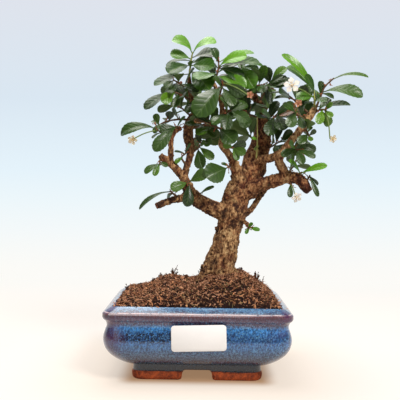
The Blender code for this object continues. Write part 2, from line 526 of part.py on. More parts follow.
def limb_shape(name, grow=0.0):
    rows = curve_points([Vector(p) for p in LIMBS[name]], RING_SPACING)
    middle = [row.xyz for row in rows]
    radii = [row[3] + grow for row in rows]
    sides = 12 if radii[0] > 9 else 8 if radii[0] > 4.5 else 7 if radii[0] > 2.7 else 6
    bark = BARK_SWELL * min(1.0, radii[0] / 6)
    if grow:
        middle[0] = middle[0] + (middle[0] - middle[1]).normalized() * grow
    return tube(middle, radii, sides, bark)


def make_trunk(parent):
    trunk = make_object("trunk", limb_shape("trunk"), "bark", parent)
    limbs = [make_object(name, limb_shape(name), "bark") for name in LIMBS if name != "trunk"]
    join_all(trunk, limbs)
    shade_round(trunk, 50)
    return trunk


def bridge(first, second, turned=False):
    """Triangles between two chains of (share of the length, point number)."""
    faces = []
    i = j = 0
    while i < len(first) - 1 or j < len(second) - 1:
        next_first = first[i + 1][0] if i < len(first) - 1 else 2.0
        next_second = second[j + 1][0] if j < len(second) - 1 else 2.0
        if next_first <= next_second:
            face = (first[i][1], first[i + 1][1], second[j][1])
            i += 1
        else:
            face = (first[i][1], second[j + 1][1], second[j][1])
            j += 1
        if len(set(face)) == 3:
            faces.append(face)
    return [face[::-1] for face in faces] if turned else faces


def rest_up(root, tip, ahead):
    """The way that a leaf faces while it isn't rolled."""
    front = -1.0 if root.y < TREE_MIDDLE.y else 1.0
    up = Vector((0, TO_THE_SIDE * front, UPWARD)) + OUTWARD * (tip - TREE_MIDDLE).normalized()
    return (up - ahead * up.dot(ahead)).normalized()


def blade(root, tip, ratio, roll, droop, grow=0.0):
    """A leaf from the middle of its twig to its tip, folded along the rib, with a keel below."""
    chord = tip - root
    length = chord.length * (droop / 2) / math.sin(droop / 2)
    ahead = chord.normalized()
    up = Quaternion(ahead, roll) @ rest_up(root, tip, ahead)
    start = (ahead * math.cos(droop / 2) + up * math.sin(droop / 2)).normalized()
    above = (up * math.cos(droop / 2) - ahead * math.sin(droop / 2)).normalized()
    side = start.cross(above)
    outline, ribs = (LONG_OUTLINE, LONG_RIB) if length > LONG_LEAF else (SHORT_OUTLINE, SHORT_RIB)
    half = max(length * ratio / 2, 1.6)

    def spine(share):
        bend = droop * share
        middle = root + length * (start * math.sin(bend) - above * (1 - math.cos(bend))) / droop
        return middle, above * math.cos(bend) + start * math.sin(bend)

    points, left, right, rib, keel = [], [], [], [], []
    for share in ribs[:-1]:
        middle, normal = spine(share)
        if share:
            rib.append((share, len(points)))
            points.append(middle + normal * grow)
        depth = LEAF_THICKNESS * (1 - 0.4 * share) if share else PETIOLE_DEPTH
        keel.append((share, len(points)))
        points.append(middle - normal * (depth + grow))
    for share, width in outline[:-1]:
        middle, normal = spine(share)
        narrow = PETIOLE_HALF_WIDTH if share else ROOT_HALF_WIDTH
        reach = narrow + (half - narrow) * width + grow
        fold = LEAF_FOLD if width else 0.0
        lift = normal * (reach * math.sin(fold) + (0.0 if width else 0.1))
        left.append((share, len(points)))
        points.append(middle - side * reach * math.cos(fold) + lift)
        right.append((share, len(points)))
        points.append(middle + side * reach * math.cos(fold) + lift)
    last = len(points)
    points.append(spine(1.0)[0] + ahead * grow)
    for chain in (left, right, rib, keel):
        chain.append((1.0, last))
    faces = [(left[0][1], right[0][1], right[1][1], left[1][1]), (left[1][1], right[1][1], rib[0][1])]
    faces += bridge(rib, right[1:], turned=True) + bridge(rib, left[1:])
    faces += bridge(keel, right) + bridge(keel, left, turned=True)
    faces.append((right[0][1], left[0][1], keel[0][1]))
    return points, faces


class Crown:
    """What is already placed, so that each new leaf can be turned clear of it."""

    def __init__(self):
        self.taken = []

    def box(self, points):
        low = Vector([min(p[k] for p in points) for k in range(3)])
        high = Vector([max(p[k] for p in points) for k in range(3)])
        return low, high

    def add(self, shape, owner, leaf=False):
        points, faces = shape
        self.taken.append((self.box(points), BVHTree.FromPolygons(points, faces), owner, leaf))

    def is_clear(self, shape, owner, may_cross_own=False):
        """Whether the shape meets neither another shoot nor, unless it may, a leaf of its own."""
        points, faces = shape
        low, high = self.box(points)
        tree = None
        for (other_low, other_high), other, other_owner, leaf in self.taken:
            if other_owner == owner and (may_cross_own or not leaf):
                continue
            if any(low[k] > other_high[k] or high[k] < other_low[k] for k in range(3)):
                continue
            tree = tree or BVHTree.FromPolygons(points, faces)
            if tree.overlap(other):
                return False
        return True


def twig_shape(path, wood):
    """A twig that stands on the limb that carries it, with its foot against the bark."""
    middle = curve_points(path, TWIG_STEP)
    first = len(middle) - 2
    while first > 0 and wood.find_nearest(middle[first - 1])[3] > TWIG_RADIUS + SEAT_GAP:
        first -= 1
    seat = first
    while seat > 0 and wood.find_nearest(middle[seat - 1])[3] > SEAT_GAP:
        seat -= 1
    foot_normal = (middle[seat] - wood.find_nearest(middle[seat])[0]).normalized()
    step = round(TWIG_SPACING / TWIG_STEP)
    middle = [middle[seat]] + middle[first:-step // 2:step] + [middle[-1]]
    count = len(middle) - 1
    radii = [SEAT_RADIUS] + [TWIG_RADIUS + (TWIG_TIP_RADIUS - TWIG_RADIUS) * i / count
                             for i in range(1, count + 1)]
    return middle, tube(middle, radii, TWIG_SIDES, foot_normal=foot_normal)


def along(middle, share):
    """The point at this share of a line's length, and the way that the line runs there."""
    lengths = [(b - a).length for a, b in zip(middle, middle[1:])]
    goal = share * sum(lengths)
    for a, b, length in zip(middle, middle[1:], lengths):
        if goal <= length:
            return a + (b - a) * (goal / length), (b - a).normalized()
        goal -= length
    return middle[-1].copy(), (middle[-1] - middle[-2]).normalized()


def root_share(middle, share, order):
    length = sum((b - a).length for a, b in zip(middle, middle[1:]))
    inner = min(0.9, 1.1 / length)
    return min(max(share, inner), 1 - inner) - 0.02 * order * share


def roll_to_face(root, tip, facing):
    """How far to roll a leaf that faces this many degrees from straight up to the front."""
    ahead = (tip - root).normalized()
    rest = rest_up(root, tip, ahead)
    goal = Vector((0, -math.sin(math.radians(facing)), math.cos(math.radians(facing))))
    goal -= ahead * goal.dot(ahead)
    return math.atan2(ahead.dot(rest.cross(goal)), rest.dot(goal))


def chosen_leaf(crown, name, middle, order, leaf, draw):
    """A leaf whose tip was chosen by hand, moved a little in depth if something is in its way."""
    share, tip, ratio, *bent = leaf
    root, _ = along(middle, root_share(middle, share, order))
    tip = Vector(tip)
    roll = draw.uniform(-0.5, 0.5)
    droop = draw.uniform(0.35, 0.75)
    if bent:
        facing, droop = bent
        roll = roll_to_face(root, tip, facing)
    for shrink, may_cross_own in CHOSEN_TRIES:
        for deeper in DEPTH_TRIES:
            for turn in ROLL_TRIES:
                end = root + (tip + Vector((0, deeper, 0)) - root) * shrink
                wider = blade(root, end, ratio, roll + turn, droop, LEAF_CLEARANCE)
                if crown.is_clear(wider, name, may_cross_own):
                    return blade(root, end, ratio, roll + turn, droop)
    return None


def rule_leaf(crown, name, middle, order, count, size, draw):
    """A leaf at its turn of the spiral, turned on until nothing is in its way."""
    share = 0.12 + 0.86 * (order + 0.5) / count
    root, ahead = along(middle, root_share(middle, share, 0))
    angle = GOLDEN_ANGLE * order + draw.uniform(-0.3, 0.3) + len(name)
    opening = math.radians(78 - 42 * share) + draw.uniform(-0.15, 0.15)
    length = size * draw.uniform(0.85, 1.15) * (1.05 - 0.2 * share)
    ratio = draw.uniform(0.42, 0.56)
    roll = draw.uniform(-0.5, 0.5)
    droop = draw.uniform(0.3, 0.8)
    side = ahead.orthogonal().normalized()
    for shrink in SHRINK_TRIES:
        for turn in TURN_TRIES:
            away = Quaternion(ahead, angle + turn) @ side
            direction = ahead * math.cos(opening) + away * math.sin(opening)
            direction = (direction + Vector((0, 0, 0.12))).normalized()
            tip = root + direction * length * shrink
            if crown.is_clear(blade(root, tip, ratio, roll, droop, LEAF_CLEARANCE), name):
                return blade(root, tip, ratio, roll, droop)
    return None


def stalk_shape(root, centre, facing, reach):
    """The stalk of a flower, which ends in its cup just behind the flower."""
    back = centre - facing * reach
    bend = (root + back) / 2 + Vector((0, -1.5, 1.0))
    middle = curve_points([root, bend, back - facing * 1.8], 3.0)[:-1]
    radii = [STALK_RADIUS] * len(middle)
    middle += [back - facing * 1.8, back - facing * 0.9, back]
    radii += [STALK_RADIUS, 0.85 * CUP_RADIUS, CUP_RADIUS]
    return tube(middle, radii, 6)


def bloom_shape(centre, facing, diameter, draw):
    """Five petals round a short tube, in one closed skin."""
    side = facing.orthogonal().normalized()
    other = facing.cross(side)
    turn = draw.uniform(0, 2 * math.pi)

    def spot(radius, angle, height):
        away = side * math.cos(angle + turn) + other * math.sin(angle + turn)
        return centre + away * radius + facing * height

    radius = diameter / 2
    points = []
    edge = []
    for petal in range(5):
        middle = 2 * math.pi * petal / 5
        for offset, reach, height in PETAL:
            edge.append(len(points))
            points.append(spot(radius * reach, middle + offset, height))
    top = len(points)
    points.append(spot(0.0, 0.0, 0.25))
    rings = []
    for radius, height in (TUBE_TOP, TUBE_FOOT):
        rings.append(range(len(points), len(points) + TUBE_SIDES))
        points += [spot(radius, 2 * math.pi * (k - 0.5) / TUBE_SIDES, height) for k in range(TUBE_SIDES)]
    collar, foot = rings
    faces = []
    for i in range(len(edge)):
        j = (i + 1) % len(edge)
        faces.append((edge[i], edge[j], top))
        a, b = collar[(i // 2) % TUBE_SIDES], collar[((i + 1) // 2) % TUBE_SIDES]
        faces.append((edge[j], edge[i], a))
        if a != b:
            faces.append((edge[j], a, b))
    for k in range(TUBE_SIDES):
        m = (k + 1) % TUBE_SIDES
        faces.append((collar[m], collar[k], foot[k], foot[m]))
    faces.append(tuple(reversed(foot)))
    return points, faces


def make_crown(parent, wood_shapes):
    """The shoots with their leaves, and the flowers."""
    crown = Crown()
    for shape in wood_shapes:
        crown.add(shape, "wood")
    points, faces = [], []
    for shape in wood_shapes:
        faces += [tuple(len(points) + i for i in face) for face in shape[1]]
        points += shape[0]
    wood = BVHTree.FromPolygons(points, faces)

    pieces = {}
    middles = {}
    for name, (_, path, _, _, _) in SHOOTS.items():
        middles[name], twig = twig_shape(path, wood)
        crown.add(twig, name)
        pieces[name] = [twig]
    blooms = {}
    for name, (shoot, share, centre, facing, diameter, _) in BLOOMS.items():
        root, _ = along(middles[shoot], root_share(middles[shoot], share, 0))
        centre, facing = Vector(centre), Vector(facing).normalized()
        stalk = stalk_shape(root, centre, facing, BLOOM_DEPTH + GAP)
        crown.add(stalk, shoot)
        pieces[shoot].append(stalk)
        blooms[name] = bloom_shape(centre, facing, diameter, random.Random(name))
        crown.add(blooms[name], name)
    for name, (_, _, chosen, _, _) in SHOOTS.items():
        draw = random.Random(name + " chosen")
        for order, leaf in enumerate(chosen):
            shape = chosen_leaf(crown, name, middles[name], order, leaf, draw)
            if shape:
                crown.add(shape, name, leaf=True)
                pieces[name].append(shape)
    for name, (_, _, _, more, size) in SHOOTS.items():
        draw = random.Random(name + " more")
        for order in range(more):
            shape = rule_leaf(crown, name, middles[name], order, more, size, draw)
            if shape:
                crown.add(shape, name, leaf=True)
                pieces[name].append(shape)

    for name, (tone, _, _, _, _) in SHOOTS.items():
        first = make_object(name, pieces[name][0], tone, parent)
        join_all(first, [make_object("leaf", shape, tone) for shape in pieces[name][1:]])
        shade_round(first, 35)
    for name, (_, _, _, _, _, tone) in BLOOMS.items():
        shade_round(make_object(name, blooms[name], tone, parent), 40)


def make_label(parent):
    """A blank card with round corners, against the belly of the pot."""
    width, height = LABEL_SIZE
    front = -POT_DEPTH / 2 - GAP - LABEL_THICKNESS
    loops = []
    for y in (front + LABEL_THICKNESS, front):
        loop = []
        for quarter, (sx, sz) in enumerate(((1, 1), (-1, 1), (-1, -1), (1, -1))):
            for step in range(5):
                angle = math.pi / 2 * (quarter + step / 4)
                x = sx * (width / 2 - LABEL_CORNER) + LABEL_CORNER * math.cos(angle)
                z = sz * (height / 2 - LABEL_CORNER) + LABEL_CORNER * math.sin(angle)
                turned = Matrix.Rotation(LABEL_TILT, 2) @ Vector((x, z))
                loop.append((LABEL_CENTRE[0] + turned.x, y, LABEL_CENTRE[1] + turned.y))
        loops.append(loop)
    return make_object("label", skin(loops), "label", parent)


def centre_on_origin(base):
    """Moves the whole plant so that its box is centred over the origin, with its feet at height 0."""
    spots = [vertex.co for thing in base.children for vertex in thing.data.vertices]
    low, high = ([end(spot[k] for spot in spots) for k in range(3)] for end in (min, max))
    base.location = (-(low[0] + high[0]) / 2, -(low[1] + high[1]) / 2, -low[2])


def main():
    clear_scene()
    base = bpy.data.objects.new("bonsai", None)
    bpy.context.scene.collection.objects.link(base)
    make_pot(base)
    make_soil(base, [limb_shape(name, HOLE_GAP) for name in ("trunk",) + ROOTS])
    make_trunk(base)
    make_crown(base, [limb_shape(name) for name in LIMBS])
    make_label(base)
    centre_on_origin(base)


main()
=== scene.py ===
import math
import random

import bpy
import numpy as np
from mathutils import Matrix, Quaternion, Vector, noise
from mathutils.bvhtree import BVHTree
from mathutils.kdtree import KDTree


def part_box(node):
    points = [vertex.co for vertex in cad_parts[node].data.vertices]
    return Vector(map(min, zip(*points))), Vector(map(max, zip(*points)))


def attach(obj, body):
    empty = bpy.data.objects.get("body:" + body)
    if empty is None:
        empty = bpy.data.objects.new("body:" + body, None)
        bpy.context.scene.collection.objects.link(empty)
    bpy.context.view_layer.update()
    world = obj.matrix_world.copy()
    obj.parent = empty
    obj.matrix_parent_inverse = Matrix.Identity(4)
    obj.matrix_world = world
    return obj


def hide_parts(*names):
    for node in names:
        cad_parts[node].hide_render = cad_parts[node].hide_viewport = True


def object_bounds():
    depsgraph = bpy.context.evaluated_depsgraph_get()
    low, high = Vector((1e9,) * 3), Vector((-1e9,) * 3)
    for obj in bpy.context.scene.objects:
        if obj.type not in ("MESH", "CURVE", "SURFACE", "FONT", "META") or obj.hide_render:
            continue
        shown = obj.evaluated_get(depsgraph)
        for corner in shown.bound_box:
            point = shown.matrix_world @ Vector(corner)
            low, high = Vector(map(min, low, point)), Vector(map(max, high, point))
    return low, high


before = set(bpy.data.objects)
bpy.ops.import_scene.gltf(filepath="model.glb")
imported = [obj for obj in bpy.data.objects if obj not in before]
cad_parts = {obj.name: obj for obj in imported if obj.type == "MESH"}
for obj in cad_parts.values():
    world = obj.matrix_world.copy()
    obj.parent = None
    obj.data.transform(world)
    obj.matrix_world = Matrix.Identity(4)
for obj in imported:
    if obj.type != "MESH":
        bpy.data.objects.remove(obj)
cadBox = [list(corner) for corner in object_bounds()]
potLow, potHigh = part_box("pot")
potFoot = Vector(((potLow.x + potHigh.x) / 2, (potLow.y + potHigh.y) / 2, potLow.z))
print("frame:", len(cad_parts), "nodes")

# Every shape is worked out in millimetres from the middle of the pot's foot. addPiece puts it in place.


def addPiece(name, points, faces, finishes, slot, nodes=(), sharp=50, looks=None, facesFinish=None):
    mesh = bpy.data.meshes.new(name)
    spots = np.array([tuple(p) for p in points], float) / 1000 + np.array(potFoot)
    spots = np.clip(spots, *cadBox)  # a leaf's wave or a crumb stays inside the box of the solids
    mesh.from_pydata(spots.tolist(), [], faces)
    for finish in finishes:
        mesh.materials.append(finish)
    if facesFinish is not None:
        mesh.polygons.foreach_set("material_index", facesFinish)
    for label, values in (looks or {}).items():
        layer = mesh.attributes.new(label, "FLOAT_VECTOR", "POINT")
        layer.data.foreach_set("vector", np.array(values, float).ravel())
    mesh.shade_smooth()
    if sharp < 180:
        mesh.set_sharp_from_angle(angle=math.radians(sharp))
    piece = bpy.data.objects.new(name, mesh)
    bpy.context.scene.collection.objects.link(piece)
    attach(piece, "root")
    if nodes:
        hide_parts(*nodes)
    return piece


class Gather:  # points, faces and what each point looks like, gathered for one piece
    def __init__(self, *labels):
        self.points, self.faces, self.finish = [], [], []
        self.looks = {label: [] for label in labels}

    def add(self, points, faces, finish=0, **looks):
        start = len(self.points)
        self.points += points
        self.faces += [tuple(start + i for i in face) for face in faces]
        self.finish += [finish] * len(faces)
        for label, values in self.looks.items():
            given = looks.get(label, (0.0, 0.0, 0.0))
            values += [given] * len(points) if isinstance(given[0], float) else given

    def piece(self, name, finishes, slot, nodes=(), sharp=50):
        return addPiece(name, self.points, self.faces, finishes, slot, nodes, sharp, self.looks,
                        self.finish)


# Helpers for the shaders


def paint(red, green, blue):
    channels = [c / 255 for c in (red, green, blue)]
    return tuple(((c + 0.055) / 1.055) ** 2.4 if c > 0.04045 else c / 12.92 for c in channels) + (1.0,)


def put(tree, kind, into=None, **settings):
    node = tree.nodes.new("ShaderNode" + kind)
    for label, value in settings.items():
        setattr(node, label, value)
    for label, value in (into or {}).items():
        if isinstance(value, bpy.types.NodeSocket):
            tree.links.new(value, node.inputs[label])
        else:
            node.inputs[label].default_value = value
    return node


def calc(tree, operation, first, second=0.0, clamp=False):
    return put(tree, "Math", {0: first, 1: second}, operation=operation, use_clamp=clamp).outputs[0]


def plus(tree, first, second, clamp=False):
    return calc(tree, "ADD", first, second, clamp)


def minus(tree, first, second):
    return calc(tree, "SUBTRACT", first, second)


def times(tree, first, second, clamp=False):
    return calc(tree, "MULTIPLY", first, second, clamp)


def offBy(tree, value, level):  # how far a value is from a level, either way
    return calc(tree, "ABSOLUTE", minus(tree, value, level))


def stretched(tree, spot, share):  # a spot for noise that runs up and down
    return put(tree, "Mapping", {"Vector": spot, "Scale": (1.0, 1.0, share)}).outputs[0]


def between(tree, value, low, high):  # 0 below low, 1 above high
    into = {"Value": value, "From Min": low, "From Max": high}
    return put(tree, "MapRange", into, interpolation_type="SMOOTHSTEP").outputs[0]


def mixed(tree, share, first, second, how="MIX"):
    return put(tree, "Mix", {0: share, 6: first, 7: second}, data_type="RGBA", blend_type=how).outputs[2]


def grain(tree, spot, scale, detail=3.0, rough=0.55):
    into = {"Vector": spot, "Scale": scale, "Detail": detail, "Roughness": rough}
    return put(tree, "TexNoise", into).outputs[0]


def ramp(tree, value, stops):
    node = put(tree, "ValToRGB", {0: value})
    marks = node.color_ramp.elements
    marks[0].position, marks[0].color = stops[0]
    marks[1].position, marks[1].color = stops[-1]
    for spot, colour in stops[1:-1]:
        marks.new(spot).color = colour
    return node.outputs[0]


def makeGroup(name, inputs, outputs):
    tree = bpy.data.node_groups.new(name, "ShaderNodeTree")
    for label, kind, value in inputs:
        socket = tree.interface.new_socket(label, in_out="INPUT", socket_type="NodeSocket" + kind)
        if value is not None:
            socket.default_value = value
    for label, kind in outputs:
        tree.interface.new_socket(label, in_out="OUTPUT", socket_type="NodeSocket" + kind)
    return tree, tree.nodes.new("NodeGroupInput").outputs, tree.nodes.new("NodeGroupOutput").inputs


def useGroup(tree, group, into):
    node = put(tree, "Group", node_tree=group)
    for label, value in into.items():
        if isinstance(value, bpy.types.NodeSocket):
            tree.links.new(value, node.inputs[label])
        else:
            node.inputs[label].default_value = value
    return node.outputs


def startMaterial(name, roughness, **fixed):
    finish = bpy.data.materials.new(name)
    finish.use_nodes = True
    tree = finish.node_tree
    shader = tree.nodes["Principled BSDF"]
    shader.inputs["Roughness"].default_value = roughness
    for label, value in fixed.items():
        shader.inputs[label].default_value = value
    spot = tree.nodes.new("ShaderNodeTexCoord").outputs["Object"]
    return finish, tree, shader, spot


def bumpOn(tree, shader, height, distance, strength=1.0):
    node = put(tree, "Bump", {"Height": height, "Distance": distance, "Strength": strength})
    tree.links.new(node.outputs[0], shader.inputs["Normal"])


def look(tree, label):
    node = put(tree, "Attribute", attribute_name=label)
    return put(tree, "SeparateXYZ", {0: node.outputs["Vector"]}).outputs


# Two sizes of noise that carry a colour from one tone to another, and the relief that goes with it
mottle, given, result = makeGroup("mottle", [
    ("Spot", "Vector", None), ("Coarse", "Float", 150.0), ("Fine", "Float", 900.0),
    ("Balance", "Float", 0.5), ("Contrast", "Float", 2.0), ("Dark", "Color", (0, 0, 0, 1)),
    ("Light", "Color", (1, 1, 1, 1))], [("Colour", "Color"), ("Height", "Float")])
coarse = grain(mottle, given["Spot"], given["Coarse"])
fine = grain(mottle, given["Spot"], given["Fine"], 4.0, 0.65)
both = plus(mottle, times(mottle, coarse, 0.55), times(mottle, fine, 0.45))
spread = times(mottle, minus(mottle, both, 0.5), given["Contrast"])
share = plus(mottle, spread, given["Balance"], clamp=True)
mottle.links.new(mixed(mottle, share, given["Dark"], given["Light"]), result["Colour"])
mottle.links.new(both, result["Height"])

# Small flecks: how many, and their size
flecks, given, result = makeGroup("flecks", [
    ("Spot", "Vector", None), ("Scale", "Float", 900.0), ("Amount", "Float", 0.3),
    ("Softness", "Float", 0.08)], [("Mask", "Float")])
dots = grain(flecks, given["Spot"], given["Scale"], 2.0, 0.7)
level = minus(flecks, 0.72, times(flecks, given["Amount"], 0.4))
above = minus(flecks, dots, level)
flecks.links.new(calc(flecks, "DIVIDE", above, given["Softness"], clamp=True), result["Mask"])

# The plant's plan, in millimetres

limbs = {
    "trunk": [(15, 0, 62, 12.6), (16, 0, 73, 14.4), (18, 0, 83, 13.6), (19, 0, 91, 12.9),
              (22, 0, 101, 11.3), (24, 0, 111, 11.0), (26, 0, 121, 10.8), (28, 0, 131, 11.8),
              (30, 1, 139, 11.2), (32, 2, 148, 11.4), (35, 4, 156, 10.4)],
    "leader": [(35, 3, 153, 9.6), (45, 7, 168, 10.6), (48, 9, 179, 10.0), (52, 11, 191, 8.6),
               (55, 12, 206, 6.6), (53, 9, 221, 4.2), (50, 6, 230, 2.4)],
    "leader_top": [(52, 10, 219, 2.8), (46, 5, 234, 2.3), (41, 1, 244, 1.9), (38, -1, 249, 1.6)],
    "right_limb": [(30, 2, 144, 8.4), (43, -3, 153, 7.1), (54, -7, 158, 5.6), (64, -9, 161, 5.1),
                   (74, -10, 164, 5.0), (84, -11, 162.5, 4.7), (89, -12, 156, 4.3), (92, -12, 152, 3.2)],
    "right_rise": [(73, -10, 162, 3.8), (70, -12, 170, 3.9), (66, -13, 178, 3.6), (70, -16, 187, 3.1),
                   (78, -18, 197, 3.0), (85, -18, 207, 3.0), (92, -17, 217, 2.9), (95, -15, 221, 2.7)],
    "cross_limb": [(41, 7, 172, 3.4), (50, -1, 178, 3.4), (60, -9, 180, 3.4), (69, -15, 185, 3.2)],
    "left_limb": [(28, 0, 131, 7.2), (12, -3, 136, 6.6), (0, -6, 142, 6.0), (-7, -8, 148, 5.3),
                  (-11, -9, 155, 4.5), (-14, -9, 163, 3.8)],
    "left_stub": [(-13, -9, 161, 3.6), (-20, -10, 169, 3.4), (-26, -11, 175, 3.2), (-31, -12, 178, 3.0),
                  (-34, -12, 181, 2.2)],
    "left_rise": [(-14, -8, 162, 3.0), (-11, -6, 173, 2.8), (-9, -3, 181, 2.9), (-9, -1, 190, 3.7),
                  (-11, 0, 198, 4.2), (-10, 1, 209, 4.0), (-6, 1, 219, 2.8), (-8, 0, 230, 2.4),
                  (-10, -1, 241, 2.0), (-11, -1, 249, 1.6)],
    "left_arm": [(-25, -11, 173, 2.5), (-25, -12, 185, 2.3), (-25, -12, 195, 2.3), (-22, -11, 201, 2.2),
                 (-17, -9, 204, 2.0)],
    "low_stub": [(-5, -7, 146, 3.8), (-20, -12, 144, 3.0), (-29, -15, 141, 2.7), (-36, -18, 138, 2.7)],
    "inner_left": [(33, 1, 155, 5.8), (31, -4, 168, 4.5), (28, -7, 176, 3.6), (24, -9, 183, 3.0),
                   (18, -11, 190, 2.7), (19, -13, 199, 2.3), (18, -14, 211, 2.1), (17, -14, 223, 2.0),
                   (14, -12, 234, 1.8), (10, -10, 242, 1.6)],
    "twig_right": [(30, 2, 127, 3.4), (43, 3, 134, 2.4), (51, 5, 145, 2.1), (60, 8, 157, 1.8)],
    "bud_twig": [(31, -4, 131, 2.2), (39, -9, 125, 1.7), (43, -11, 121, 1.4)],
    "root_left": [(13, -2, 90, 5.6), (7, -5, 80, 6.2), (3, -7, 69, 5.6)],
    "root_right": [(23, -2, 88, 5.6), (29, -4, 79, 5.8), (33, -6, 69, 5.2)],
    "root_back": [(18, 3, 88, 6.0), (19, 9, 79, 6.4), (20, 13, 69, 5.8)],
}
